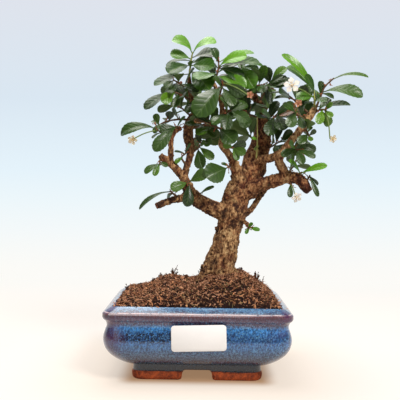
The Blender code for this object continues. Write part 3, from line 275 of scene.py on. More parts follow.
shoots = {
    "crest_left": ("new", [(-11, -1, 247), (-10, -3, 256), (-9, -5, 264), (-8, -6, 269)], [
        (1.0, (-25.5, -10, 278), 0.66, 44, 1.5), (0.95, (12, -12, 276), 0.64, 38, 1.5),
        (0.8, (14, -2, 269), 0.72, 42, 0.5), (0.75, (-27, -10, 266), 0.66, 55, 0.6),
        (0.7, (-31, -2, 258), 0.36, 28, 0.8), (0.5, (-28, -20, 248), 0.62, 48, 0.7),
        (0.5, (10, -18, 254), 0.62, 66, 0.5), (0.12, (-40, -12, 239), 0.38, 36, 0.5),
        (0.65, (10, -8, 262), 0.72, 56, 0.6), (0.3, (7, -20, 235), 0.62, 66, 0.5)], 2, 16),
    "left_plume": ("green", [(-11, -1, 239), (-17, -8, 241), (-24, -14, 244)], [
        (1.0, (-30, -20, 236), 0.66, 52, 0.6), (0.75, (-24, -24, 231), 0.50, 70, 0.5),
        (0.55, (-2, -16, 234), 0.44, 60, 0.5)], 4, 19),
    "left_sweep": ("green", [(-9, 0, 229), (-16, -8, 232), (-24, -14, 234)], [
        (1.0, (-47, -20, 218), 0.48, 34, 0.6), (0.9, (-33, -24, 224), 0.55, 72, 0.4),
        (0.7, (-23, -18, 220), 0.48, 72, 0.5), (0.4, (-29, -2, 236), 0.44, 60, 0.5)], 4, 19),
    "left_bud": ("green", [(-8, 1, 212), (-18, -4, 212), (-29, -6, 210), (-37, -6, 206)], [
        (0.95, (-39, -8, 216), 0.62, 75, 0.4), (1.0, (-42, 0, 211), 0.50, 60, 0.5),
        (0.62, (-26, -12, 218), 0.80, 80, 0.4), (0.75, (-31, 4, 214), 0.50, 70, 0.4)], 3, 15),
    "left_arch": ("green", [(-24, -12, 194), (-31, -14, 198), (-38, -14, 203)], [
        (1.0, (-67, -16, 197), 0.36, 52, 1.7), (0.6, (-40, -22, 194), 0.35)], 1, 10),
    "arm_tip": ("green", [(-18, -9, 204), (-21, -16, 205)], [
        (1.0, (-38, -26, 183), 0.40, 66, 0.7), (0.5, (-13, -18, 213), 0.36),
        (0.8, (-34, -20, 200), 0.64, 70, 0.5)], 1, 11),
    "stub_left": ("green", [(-33, -12, 180), (-34, -14, 175), (-34, -15, 172)], [
        (1.0, (-46, -20, 165), 0.40, 55, 1.2), (0.8, (-38, -22, 163), 0.42, 65, 0.6),
        (0.5, (-27, -22, 171), 0.40)], 0, 9),
    "rise_low": ("green", [(-12, -6, 173), (-16, -10, 179), (-12, -12, 183)], [
        (0.6, (-21, -14, 174), 0.50, 60, 0.6), (1.0, (-22, -14, 184), 0.26, 45, 0.6),
        (0.9, (-8, -16, 191), 0.30)], 0, 9),
    "rise_right": ("green", [(-7, -2, 184), (-1, -6, 189), (2, -8, 194)], [
        (1.0, (9, -14, 191), 0.90, 75, 0.4), (0.5, (11, -12, 178), 0.46, 75, 0.5),
        (0.75, (-3, -16, 200), 0.42), (0.4, (2, -14, 170), 0.58, 78, 0.5)], 1, 12),
    "fork_spray": ("green", [(-12, -10, 160), (-9, -18, 158)], [
        (1.0, (7, -28, 166), 0.54, 65, 0.6), (0.6, (-24, -24, 152), 0.56, 70, 0.5),
        (0.9, (-11, -24, 138), 0.50, 75, 0.6)], 0, 12),
    "low_arch": ("green", [(-19, -12, 146), (-23, -15, 149), (-25, -17, 151)], [
        (1.0, (-50, -22, 135), 0.18, 35, 1.2), (0.5, (-28, -10, 144), 0.60, 75, 0.4)], 0, 9),
    "limb_bud": ("green", [(-2, -8, 145), (0, -14, 149)], [
        (1.0, (12, -18, 155), 0.30, 45, 0.5)], 0, 8),
    "rise_mid": ("green", [(-7, 1, 205), (2, -4, 208), (9, -6, 210)], [
        (1.0, (13, -14, 202), 0.50, 65, 0.5), (0.6, (-1, -16, 199), 0.48, 65, 0.5),
        (0.8, (4, -14, 217), 0.46, 60, 0.5)], 4, 19),
    "rise_top": ("green", [(-9, 0, 222), (-1, -6, 228), (4, -8, 235)], [
        (1.0, (-3, -26, 211), 0.52, 70, 0.5), (0.8, (10, -22, 223), 0.50, 65, 0.5),
        (0.5, (-13, -14, 217), 0.46, 65, 0.5)], 4, 20),
    "crest_mid": ("new", [(10, -10, 243), (13, -12, 250), (14, -12, 256), (14, -10, 261)], [
        (1.0, (44, -10, 268), 0.34, 34, 0.6), (0.7, (48, -20, 257.5), 0.34, 44, 0.7),
        (0.4, (-3, -24, 241), 0.70, 64, 0.6), (0.3, (37, -22, 238), 0.46, 62, 0.6),
        (0.7, (2, -10, 261), 0.66, 55, 0.7), (0.75, (35, -16, 245), 0.54, 66, 0.7),
        (0.8, (37, -22, 263), 0.52, 55, 1.0)], 4, 18),
    "mid_fan": ("green", [(15, -13, 232), (17, -18, 238), (18, -20, 242)], [
        (1.0, (36, -28, 230), 0.46, 70, 0.6), (0.7, (-4, -30, 212), 0.56, 75, 0.6),
        (0.6, (27, -28, 221), 0.46, 72, 0.5)], 4, 20),
    "mid_front": ("green", [(18, -14, 213), (22, -20, 217), (25, -22, 218)], [
        (1.0, (38, -32, 208), 0.52, 70, 0.6), (0.7, (20, -32, 201), 0.52, 72, 0.5),
        (0.8, (31, -32, 225), 0.46, 60, 0.6), (0.4, (9, -26, 206), 0.50, 68, 0.5)], 4, 20),
    "inner_low": ("green", [(20, -10, 187), (25, -14, 188), (28, -16, 188)], [
        (1.0, (37, -20, 182), 0.70, 72, 0.4), (0.9, (19, -18, 191), 0.75, 72, 0.4),
        (0.8, (31, -20, 177), 0.45, 60, 0.5),
        (0.3, (38, -16, 192), 0.56, 74, 0.4)], 1, 10),
    "heart": ("green", [(26, -8, 175), (24, -15, 172), (23, -19, 171)], [
        (1.0, (5, -28, 162), 0.80, 78, 0.4)], 1, 9),
    "crest_right": ("new", [(38, -1, 248), (35, -4, 254), (33, -6, 260)], [
        (1.0, (44, -16, 238), 0.62, 70, 0.6), (1.0, (53, -2, 258), 0.30, 45, 1.1),
        (0.6, (23, 4, 254), 0.40), (0.5, (52, 4, 250), 0.40), (0.8, (49, 0, 257), 0.46, 60, 0.5)], 4, 18),
    "lead_right": ("green", [(51, 6, 231), (56, 4, 239), (60, 0, 246)], [
        (1.0, (72, -6, 257), 0.48, 55, 1.0), (0.9, (54, -8, 257), 0.60, 65, 0.5),
        (0.7, (73, -12, 246), 0.50, 60, 0.7), (0.5, (42, -14, 235), 0.46, 65, 0.5)], 4, 19),
    "lead_left": ("green", [(50, 8, 216), (40, -2, 218), (35, -6, 221)], [
        (1.0, (22, -16, 212), 0.50, 65, 0.5), (0.8, (36, -18, 204), 0.54, 72, 0.5),
        (0.6, (46, -16, 224), 0.50, 60, 0.5)], 4, 20),
    "lead_front": ("green", [(54, 10, 207), (60, -4, 213), (64, -12, 217)], [
        (1.0, (68, -24, 202), 0.62, 72, 0.5), (0.8, (56, -20, 198), 0.56, 72, 0.5),
        (0.9, (73, -22, 224), 0.46, 60, 0.6), (0.6, (50, -20, 217), 0.50, 65, 0.5)], 4, 20),
    "rise_left": ("green", [(87, -18, 211), (82, -22, 214), (77, -24, 217)], [
        (1.0, (71, -32, 204), 0.60, 72, 0.5), (0.6, (83, -32, 203), 0.54, 72, 0.5),
        (0.9, (66, -30, 223), 0.44, 60, 0.6)], 3, 19),
    "right_crest": ("new", [(95, -15, 220), (94, -18, 228), (93, -20, 236)], [
        (1.0, (65, -26, 264), 0.20, 55, 1.0), (1.0, (71, -16, 256), 0.50, 38, 0.8),
        (0.7, (77, -28, 228), 0.46, 65, 0.6), (0.5, (102, -28, 226), 0.54, 60, 0.5),
        (0.4, (83, -10, 224), 0.42), (0.85, (84, -24, 247), 0.40, 60, 0.6)], 4, 18),
    "right_reach": ("green", [(96, -14, 222), (99, -18, 231), (102, -20, 239), (109, -22, 246)], [
        (1.0, (136, -28, 246), 0.18, 45, 1.1), (0.5, (130, -34, 229), 0.42, 48, 1.1),
        (0.05, (126, -10, 226), 0.36, 35, 0.3),
        (0.35, (98, -20, 244), 0.56, 60, 0.5), (0.5, (111, -14, 231), 0.46, 60, 0.4)], 0, 16),
    "right_cluster": ("green", [(94, -17, 218), (99, -22, 220), (103, -24, 219)], [
        (1.0, (107, -28, 213), 0.60, 72, 0.5), (0.8, (107, -30, 224), 0.50, 65, 0.5),
        (0.7, (95, -30, 207), 0.50, 72, 0.5), (0.5, (107, -18, 207), 0.60, 70, 0.5)], 4, 15),
    "under_right": ("green", [(86, -18, 207), (88, -22, 201), (90, -24, 197)], [
        (1.0, (89, -32, 193), 0.50, 70, 0.5), (0.7, (79, -32, 191), 0.50, 70, 0.5),
        (0.5, (92, -20, 206), 0.46, 60, 0.5), (0.9, (94, -26, 203), 0.62, 70, 0.4)], 3, 17),
    "cross_tip": ("green", [(74, -17, 192), (78, -22, 188), (80, -24, 186)], [
        (1.0, (94, -28, 180), 0.38), (0.9, (83, -32, 174), 0.50), (0.6, (66, -28, 181), 0.46)], 2, 15),
    "limb_new": ("new", [(84, -12, 163), (84, -16, 168)], [
        (1.0, (105, -22, 174), 0.32, 55, 0.6), (0.8, (73, -22, 178), 0.40)], 0, 9),
    "limb_tip": ("green", [(89, -12, 159), (91, -15, 164), (92, -16, 166)], [
        (1.0, (98, -22, 148), 0.24), (0.8, (100, -10, 158), 0.22)], 0, 9),
    "limb_under": ("green", [(76, -11, 161), (76, -14, 157)], [
        (1.0, (75, -20, 147), 0.40)], 0, 8),
    "back_left": ("green", [(-8, 4, 216), (-5, 22, 227), (-9, 36, 236)], [], 6, 23),
    "back_mid": ("green", [(42, 4, 239), (38, 24, 241), (32, 40, 247)], [], 7, 23),
    "back_lead": ("green", [(54, 14, 213), (59, 32, 224), (57, 50, 234)], [], 7, 24),
    "back_low": ("green", [(49, 14, 192), (45, 34, 202), (37, 50, 209)], [], 7, 23),
    "back_right": ("green", [(83, -14, 205), (86, 8, 216), (93, 26, 227)], [], 7, 23),
    "back_limb": ("green", [(72, -4, 163), (81, 12, 173), (88, 26, 182)], [], 5, 20),
    "back_left_low": ("green", [(-8, 2, 195), (-1, 20, 200), (5, 34, 205)], [], 6, 20),
    "left_fill": ("green", [(-7, 2, 214), (-17, 8, 223), (-27, 14, 228)], [], 6, 20),
    "inner_mid": ("green", [(18, -13, 203), (10, -13, 206), (2, -12, 206)], [
        (0.12, (28, -20, 191), 0.70, 75, 0.4)], 5, 19),
    "centre_fill": ("green", [(18, -13, 218), (30, -2, 222), (42, 0, 228)], [], 7, 20),
    "crest_fill": ("green", [(42, 1, 241), (52, -6, 242), (60, -12, 238)], [], 7, 20),
    "rise_fill": ("green", [(92, -17, 215), (82, -10, 226), (73, -8, 234)], [
        (0.9, (64, -22, 233), 0.62, 65, 0.5), (0.5, (86, -20, 240), 0.56, 65, 0.5)], 6, 20),
    "lead_low": ("green", [(50, 10, 188), (60, 6, 190), (70, 2, 196)], [
        (0.9, (78, -8, 203), 0.54, 70, 0.4), (0.5, (65, -6, 184), 0.50, 70, 0.4)], 5, 20),
    "right_low": ("green", [(79, -18, 198), (84, -8, 191), (86, 1, 187)], [], 7, 14),
    "trunk_bud": ("new", [(42, -10, 122), (41, -14, 121), (42, -17, 121)], [
        (1.0, (50, -21, 119), 0.55), (0.8, (43, -21, 126), 0.55), (0.9, (39, -20, 116), 0.50)], 0, 6),
    "young_shoot": ("new", [(48, -1, 177), (48, -8, 194), (47, -14, 214)], [
        (0.45, (43, -10, 197), 0.40)], 0, 6),
}
blooms = {
    "bloom_top": ("right_crest", 0.55, (71.5, -42, 236.5), (-0.25, -1, 0.2), 14.0, "white"),
    "bloom_left": ("left_arch", 0.85, (-56, -26, 192), (-0.2, -0.9, -0.4), 9.5, "cream"),
    "bloom_low": ("limb_under", 0.6, (80.6, -22, 147), (0.3, -1, -0.35), 10.0, "white"),
    "bloom_far": ("right_cluster", 0.85, (107, -33, 195), (0.5, -1, -0.3), 8.0, "cream"),
    "bloom_faded": ("rise_left", 0.95, (78, -36, 223), (-0.2, -1, 0.2), 8.0, "faded"),
    "bloom_rust": ("mid_fan", 0.9, (39, -36, 229), (0.1, -1, 0.0), 7.5, "faded"),
}
potOutside = [
    (27.3, 8.4, 9), (27.0, 8.8, 9), (25.4, 9.8, 9), (18.6, 11.8, 11), (13.2, 14.3, 13),
    (7.9, 18.0, 15), (3.7, 22.4, 16), (1.2, 27.2, 16), (0.0, 33.0, 16), (0.5, 37.2, 15),
    (1.9, 41.6, 13), (2.9, 44.2, 11), (3.0, 46.4, 10), (2.0, 48.9, 10), (0.5, 50.6, 10),
    (0.0, 51.8, 10), (0.0, 54.7, 10), (0.7, 55.7, 9.6),
    (7.2, 59.7, 7), (8.0, 60.0, 6.5),
]
potInside = [
    (9.1, 59.4, 6), (9.5, 58.0, 6), (9.5, 29.0, 6),
    (13.5, 23.0, 6), (23.0, 16.5, 6), (30.0, 13.0, 6),
]
longOutline = [(0.0, 0.0), (0.12, 0.0), (0.42, 0.62), (0.70, 1.0), (0.77, 0.84), (0.86, 0.84),
                (0.905, 0.58), (1.0, 0.0)]
shortOutline = [(0.0, 0.0), (0.12, 0.0), (0.44, 0.68), (0.72, 1.0), (0.79, 0.80), (0.89, 0.68),
                (1.0, 0.0)]

# Shapes that the part is built from, in millimetres


def skin(loops):
    count = len(loops[0])
    faces = [tuple(reversed(range(count)))]
    for row in range(len(loops) - 1):
        for i in range(count):
            j = (i + 1) % count
            a, b = row * count, (row + 1) * count
            faces.append((a + i, a + j, b + j, b + i))
    last = (len(loops) - 1) * count
    faces.append(tuple(range(last, last + count)))
    return [p for loop in loops for p in loop], faces


def curvePoints(points, spacing):
    rows = [Vector(p) for p in points]
    rows = [rows[0] * 2 - rows[1]] + rows + [rows[-1] * 2 - rows[-2]]
    out = []
    for i in range(1, len(rows) - 2):
        a, b, c, d = rows[i - 1:i + 3]
        steps = max(1, round((c.xyz - b.xyz).length / spacing))
        for step in range(steps):
            t = step / steps
            out.append(0.5 * (2 * b + (c - a) * t + (2 * a - 5 * b + 4 * c - d) * t * t
                              + (3 * b - a - 3 * c + d) * t ** 3))
    return out + [rows[-2]]


def tube(middle, radii, sides, bark=0.0, footNormal=None):
    loops = []
    side = None
    for i, point in enumerate(middle):
        ahead = (middle[min(i + 1, len(middle) - 1)] - middle[max(i - 1, 0)]).normalized()
        if i == 0 and footNormal:
            ahead = footNormal
        if side is None:
            side = ahead.orthogonal().normalized()
        side = (side - ahead * side.dot(ahead)).normalized()
        other = ahead.cross(side)
        loop = []
        for k in range(sides):
            angle = 2 * math.pi * k / sides
            away = side * math.cos(angle) + other * math.sin(angle)
            radius = radii[i]
            if bark:
                spot = (point + away * radius) * wood["swellScale"]
                radius *= 1 + bark * noise.noise(spot) + 0.5 * bark * noise.noise(spot * 2.3)
            loop.append(tuple(point + away * radius))
        loops.append(loop)
    return skin(loops)


def limbShape(name, spacing, minSides=0):
    rows = curvePoints([Vector(p) for p in limbs[name]], spacing)
    radii = [row[3] for row in rows]
    sides = 12 if radii[0] > 9 else 8 if radii[0] > 4.5 else 7 if radii[0] > 2.7 else 6
    bark = wood["swell"] * min(1.0, radii[0] / 6)
    return tube([row.xyz for row in rows], radii, max(sides, minSides), bark)


def bridge(first, second, turned=False):
    faces = []
    i = j = 0
    while i < len(first) - 1 or j < len(second) - 1:
        nextFirst = first[i + 1][0] if i < len(first) - 1 else 2.0
        nextSecond = second[j + 1][0] if j < len(second) - 1 else 2.0
        if nextFirst <= nextSecond:
            face = (first[i][1], first[i + 1][1], second[j][1])
            i += 1
        else:
            face = (first[i][1], second[j + 1][1], second[j][1])
            j += 1
        if len(set(face)) == 3:
            faces.append(face)
    return [face[::-1] for face in faces] if turned else faces


def restUp(root, tip, ahead):  # the way that a leaf faces if it isn't rolled
    front = -1.0 if root.y < leaf["treeMiddle"].y else 1.0
    outward = (tip - leaf["treeMiddle"]).normalized()
    up = Vector((0, leaf["toTheSide"] * front, leaf["upward"])) + leaf["outward"] * outward
    return (up - ahead * up.dot(ahead)).normalized()


def spineOf(root, tip, roll, droop):  # the bent middle line of a leaf, from its root to its tip
    chord = tip - root
    length = chord.length * (droop / 2) / math.sin(droop / 2)
    ahead = chord.normalized()
    up = Quaternion(ahead, roll) @ restUp(root, tip, ahead)
    start = (ahead * math.cos(droop / 2) + up * math.sin(droop / 2)).normalized()
    above = (up * math.cos(droop / 2) - ahead * math.sin(droop / 2)).normalized()

    def spine(share):
        bend = droop * share
        middle = root + length * (start * math.sin(bend) - above * (1 - math.cos(bend))) / droop
        return middle, above * math.cos(bend) + start * math.sin(bend)

    return length, ahead, start.cross(above), spine


# the plain leaf of the solids, to see what is in its way
def plainBlade(root, tip, ratio, roll, droop, grow=0.0):
    length, ahead, side, spine = spineOf(root, tip, roll, droop)
    outline, ribs = (longOutline, longRib) if length > leaf["longFrom"] else (shortOutline, shortRib)
    half = max(length * ratio / 2, 1.6)
    points, left, right, rib, keel = [], [], [], [], []
    for share in ribs[:-1]:
        middle, normal = spine(share)
        if share:
            rib.append((share, len(points)))
            points.append(middle + normal * grow)
        depth = 0.95 * (1 - 0.4 * share) if share else 0.45
        keel.append((share, len(points)))
        points.append(middle - normal * (depth + grow))
    for share, width in outline[:-1]:
        middle, normal = spine(share)
        narrow = leaf["petiole"] if share else 0.38
        reach = narrow + (half - narrow) * width + grow
        fold = leaf["fold"] if width else 0.0
        lift = normal * (reach * math.sin(fold) + (0.0 if width else 0.1))
        left.append((share, len(points)))
        points.append(middle - side * reach * math.cos(fold) + lift)
        right.append((share, len(points)))
        points.append(middle + side * reach * math.cos(fold) + lift)
    last = len(points)
    points.append(spine(1.0)[0] + ahead * grow)
    for chain in (left, right, rib, keel):
        chain.append((1.0, last))
    faces = [(left[0][1], right[0][1], right[1][1], left[1][1]), (left[1][1], right[1][1], rib[0][1])]
    faces += bridge(rib, right[1:], turned=True) + bridge(rib, left[1:])
    faces += bridge(keel, right) + bridge(keel, left, turned=True)
    faces.append((right[0][1], left[0][1], keel[0][1]))
    return points, faces


def boxOf(points):
    return [min(p[k] for p in points) for k in range(3)], [max(p[k] for p in points) for k in range(3)]


class Crown:  # what is already placed, so that each new leaf can be turned clear of it
    def __init__(self):
        self.taken = []

    def add(self, shape, owner, isLeaf=False):
        self.taken.append((boxOf(shape[0]), BVHTree.FromPolygons(*shape), owner, isLeaf))

    def isClear(self, shape, owner, mayCrossOwn=False):
        low, high = boxOf(shape[0])
        tree = None
        for (otherLow, otherHigh), other, otherOwner, isLeaf in self.taken:
            if otherOwner == owner and (mayCrossOwn or not isLeaf):
                continue
            if any(low[k] > otherHigh[k] or high[k] < otherLow[k] for k in range(3)):
                continue
            tree = tree or BVHTree.FromPolygons(*shape)
            if tree.overlap(other):
                return False
        return True


def twigShape(path, bark):
    middle = curvePoints(path, 0.1)
    first = len(middle) - 2
    while first > 0 and bark.find_nearest(middle[first - 1])[3] > twig["radius"] + twig["seatGap"]:
        first -= 1
    seat = first
    while seat > 0 and bark.find_nearest(middle[seat - 1])[3] > twig["seatGap"]:
        seat -= 1
    footNormal = (middle[seat] - bark.find_nearest(middle[seat])[0]).normalized()
    middle = [middle[seat]] + middle[first:-25:50] + [middle[-1]]
    count = len(middle) - 1
    radii = [0.75] + [twig["radius"] + (twig["tipRadius"] - twig["radius"]) * i / count
                      for i in range(1, count + 1)]
    return middle, tube(middle, radii, 4, footNormal=footNormal)


def along(middle, share):
    lengths = [(b - a).length for a, b in zip(middle, middle[1:])]
    goal = share * sum(lengths)
    for a, b, length in zip(middle, middle[1:], lengths):
        if goal <= length:
            return a + (b - a) * (goal / length), (b - a).normalized()
        goal -= length
    return middle[-1].copy(), (middle[-1] - middle[-2]).normalized()


def rootShare(middle, share, order):
    length = sum((b - a).length for a, b in zip(middle, middle[1:]))
    inner = min(0.9, 1.1 / length)
    return min(max(share, inner), 1 - inner) - 0.02 * order * share


# how far to roll a leaf that faces so many degrees from straight up to the front
def rollToFace(root, tip, facing):
    ahead = (tip - root).normalized()
    rest = restUp(root, tip, ahead)
    goal = Vector((0, -math.sin(math.radians(facing)), math.cos(math.radians(facing))))
    goal -= ahead * goal.dot(ahead)
    return math.atan2(ahead.dot(rest.cross(goal)), rest.dot(goal))


def chosenLeaf(crown, name, middle, order, given, draw):
    share, tip, ratio, *bent = given
    root, _ = along(middle, rootShare(middle, share, order))
    tip = Vector(tip)
    roll, droop = draw.uniform(-0.5, 0.5), draw.uniform(0.35, 0.75)
    if bent:
        roll, droop = rollToFace(root, tip, bent[0]), bent[1]
    for shrink, mayCrossOwn in chosenTries:
        for deeper in depthTries:
            for turn in rollTries:
                end = root + (tip + Vector((0, deeper, 0)) - root) * shrink
                if crown.isClear(plainBlade(root, end, ratio, roll + turn, droop, 0.2), name,
                                 mayCrossOwn):
                    return root, end, ratio, roll + turn, droop
    return None


def ruleLeaf(crown, name, middle, order, count, size, draw):
    share = 0.12 + 0.86 * (order + 0.5) / count
    root, ahead = along(middle, rootShare(middle, share, 0))
    angle = math.radians(137.5) * order + draw.uniform(-0.3, 0.3) + len(name)
    opening = math.radians(78 - 42 * share) + draw.uniform(-0.15, 0.15)
    length = size * draw.uniform(0.85, 1.15) * (1.05 - 0.2 * share)
    ratio = draw.uniform(0.42, 0.56)
    roll = draw.uniform(-0.5, 0.5)
    droop = draw.uniform(0.3, 0.8)
    side = ahead.orthogonal().normalized()
    for shrink in shrinkTries:
        for turn in turnTries:
            away = Quaternion(ahead, angle + turn) @ side
            direction = ahead * math.cos(opening) + away * math.sin(opening)
            direction = (direction + Vector((0, 0, 0.12))).normalized()
            tip = root + direction * length * shrink
            if crown.isClear(plainBlade(root, tip, ratio, roll, droop, 0.2), name):
                return root, tip, ratio, roll, droop
    return None


def stalkShape(root, centre, facing, sides=6, spacing=3.0):
    back = centre - facing * (bloom["depth"] + 0.35)
    bend = (root + back) / 2 + Vector((0, -1.5, 1.0))
    middle = curvePoints([root, bend, back - facing * 1.8], spacing)[:-1]
    radii = [bloom["stalk"]] * len(middle)
    middle += [back - facing * 1.8, back - facing * 0.9, back]
    radii += [bloom["stalk"], 0.85 * bloom["cup"], bloom["cup"]]
    return tube(middle, radii, sides)


def plainBloom(centre, facing, diameter, draw):  # only the room that a flower takes
    side = facing.orthogonal().normalized()
    other = facing.cross(side)
    turn = draw.uniform(0, 2 * math.pi)

    def spot(radius, angle, height):
        away = side * math.cos(angle + turn) + other * math.sin(angle + turn)
        return centre + away * radius + facing * height

    radius = diameter / 2
    points, edge = [], []
    for petal in range(5):
        middle = 2 * math.pi * petal / 5
        for offset, reach, height in ((-0.63, 0.34, 0.0), (-0.40, 0.80, -0.3), (0.0, 1.0, -0.9),
                                      (0.40, 0.80, -0.3)):
            edge.append(len(points))
            points.append(spot(radius * reach, middle + offset, height))
    top = len(points)
    points.append(spot(0.0, 0.0, 0.25))
    rings = []
    for radius, height in ((0.9, -1.0), (0.8, -bloom["depth"])):
        rings.append(range(len(points), len(points) + 10))
        points += [spot(radius, 2 * math.pi * (k - 0.5) / 10, height) for k in range(10)]
    collar, foot = rings
    faces = []
    for i in range(len(edge)):
        j = (i + 1) % len(edge)
        faces.append((edge[i], edge[j], top))
        a, b = collar[(i // 2) % 10], collar[((i + 1) // 2) % 10]
        faces.append((edge[j], edge[i], a))
        if a != b:
            faces.append((edge[j], a, b))
    for k in range(10):
        m = (k + 1) % 10
        faces.append((collar[m], collar[k], foot[k], foot[m]))
    faces.append(tuple(reversed(foot)))
    return (points, faces), turn


# The pot

glaze = {
    "width": 150.0, "depth": 120.0, "wall": 9.5, "cornerSteps": 12, "profileStep": 0.9,
    "drainRadius": 6.0, "drainX": 27.0, "drainSpan": (5.0, 16.0), "footHeight": 8.0,
    "footInset": (22.5, 17.0), "footWidth": 13.0, "footGap": (12.3, 13.0), "footBend": 9.0,
    "plinth": (51.4, 42.0, 12.5, 8.0), "clay": (paint(98, 36, 18), paint(204, 96, 48)), "gloss": 0.16,
    "clayRoughness": 0.85,
    # height up the pot in millimetres and the glaze's colour there
    "bands": [(0.0, paint(34, 26, 26)), (9.0, paint(26, 20, 24)), (12.4, paint(34, 36, 46)),
              (15.2, paint(66, 78, 98)), (19.0, paint(84, 98, 124)), (25.0, paint(86, 106, 138)),
              (30.0, paint(74, 116, 162)), (34.2, paint(58, 104, 158)), (36.2, paint(52, 92, 140)),
              (39.4, paint(52, 98, 150)), (41.2, paint(58, 120, 178)), (44.8, paint(62, 128, 184)),
              (46.4, paint(74, 104, 146)), (47.8, paint(104, 88, 112)), (51.2, paint(98, 76, 100)),
              (52.6, paint(58, 18, 44)), (55.2, paint(88, 18, 32)), (56.2, paint(50, 48, 82)),
              (57.2, paint(42, 62, 96)), (58.2, paint(64, 104, 146)), (60.5, paint(96, 142, 184))],
    "streaks": (paint(66, 76, 100), paint(206, 222, 238)),
    "darkFleck": paint(30, 38, 66), "paleFleck": paint(112, 168, 208),
    # the lip's pale pink line colour is a painted highlight
    "belt": paint(14, 20, 36), "thin": paint(84, 44, 84), "lipHighlight": paint(236, 206, 210),
    # heights of the belt, of the lip's middle, of the painted highlight along the lip's edge, and of the
    # clay's edge, in metres
    "beltAt": 0.0378, "lipAt": 0.0537, "highlightAt": 0.0560, "clayEdge": (0.0064, 0.0072),
}


# with more points along the straight sides
def roundedLoop(halfX, halfY, height, radius, steps, sideSteps=(1, 1)):
    corners = []
    for quarter, (sx, sy) in enumerate(((1, 1), (-1, 1), (-1, -1), (1, -1))):
        for step in range(steps + 1):
            angle = math.pi / 2 * (quarter + step / steps)
            corners.append((sx * (halfX - radius) + radius * math.cos(angle),
                            sy * (halfY - radius) + radius * math.sin(angle), height))
    loop = []
    for i, (a, b) in enumerate(zip(corners, corners[1:] + corners[:1])):
        side, place = divmod(i, steps + 1)
        count = sideSteps[side % 2] if place == steps else 1
        loop += [tuple(p + (q - p) * k / count for p, q in zip(a, b)) for k in range(count)]
    return loop


def roundedRectangle(inset, height, radius, steps, sideSteps=(1, 1)):
    return roundedLoop(glaze["width"] / 2 - inset, glaze["depth"] / 2 - inset, height, radius, steps,
                       sideSteps)


def footShape(sx, sy):
    loops = []
    top = glaze["footHeight"]
    levels = [(top + 4.4, 0.9, 4.0), (top + 0.3, 0.6, 4.0), (top - 0.4, 0.5, 2.9), (top - 1.0, 0.4, 1.9),
              (top - 1.6, 0.3, 1.2), (top - 2.6, 0.0, 0.5), (4.5, -0.3, 0.0), (2.4, -0.1, 0.0),
              (1.2, 0.2, 0.0), (0.5, 0.6, 0.0), (0.0, 1.2, 0.0)]
    for height, shrink, reach in levels:
        x1 = glaze["width"] / 2 - glaze["footInset"][0] - shrink
        y1 = glaze["depth"] / 2 - glaze["footInset"][1] - shrink
        x0, y0 = x1 - glaze["footWidth"] + 2 * shrink, y1 - glaze["footWidth"] + 2 * shrink
        gapX, gapY = glaze["footGap"][0] + shrink - reach, glaze["footGap"][1] + shrink - reach
        bend, soft = glaze["footBend"] - shrink, 1.6
        loop = [(x0, gapY + soft), (x0 + soft, gapY), (x1 - soft, gapY), (x1, gapY + soft)]
        for step in range(9):
            angle = math.pi / 2 * step / 8
            loop.append((x1 - bend + bend * math.cos(angle), y1 - bend + bend * math.sin(angle)))
        loop += [(gapX + soft, y1), (gapX, y1 - soft), (gapX, y0 + soft), (gapX + soft, y0), (x0, y0)]
        loop = [(sx * x, sy * y, height) for x, y in loop]
        loops.append(loop if sx * sy < 0 else loop[::-1])
    return skin(loops)


def rawObject(name, shape):
    mesh = bpy.data.meshes.new(name)
    mesh.from_pydata([tuple(p) for p in shape[0]], [], shape[1])
    thing = bpy.data.objects.new(name, mesh)
    bpy.context.scene.collection.objects.link(thing)
    return thing


def takeShape(thing):  # the points and faces of an object with its modifiers, which is then removed
    graph = bpy.context.evaluated_depsgraph_get()
    mesh = thing.evaluated_get(graph).to_mesh()
    count = len(mesh.vertices)
    points = np.empty(count * 3)
    mesh.vertices.foreach_get("co", points)
    normals = np.empty(count * 3)
    mesh.vertices.foreach_get("normal", normals)
    faces = [tuple(face.vertices) for face in mesh.polygons]
    bpy.data.objects.remove(thing, do_unlink=True)
    return points.reshape(-1, 3), faces, normals.reshape(-1, 3)


def boolean(thing, other, operation):
    change = thing.modifiers.new("change", "BOOLEAN")
    change.operation, change.object, change.solver = operation, other, "EXACT"
    other.hide_render = True


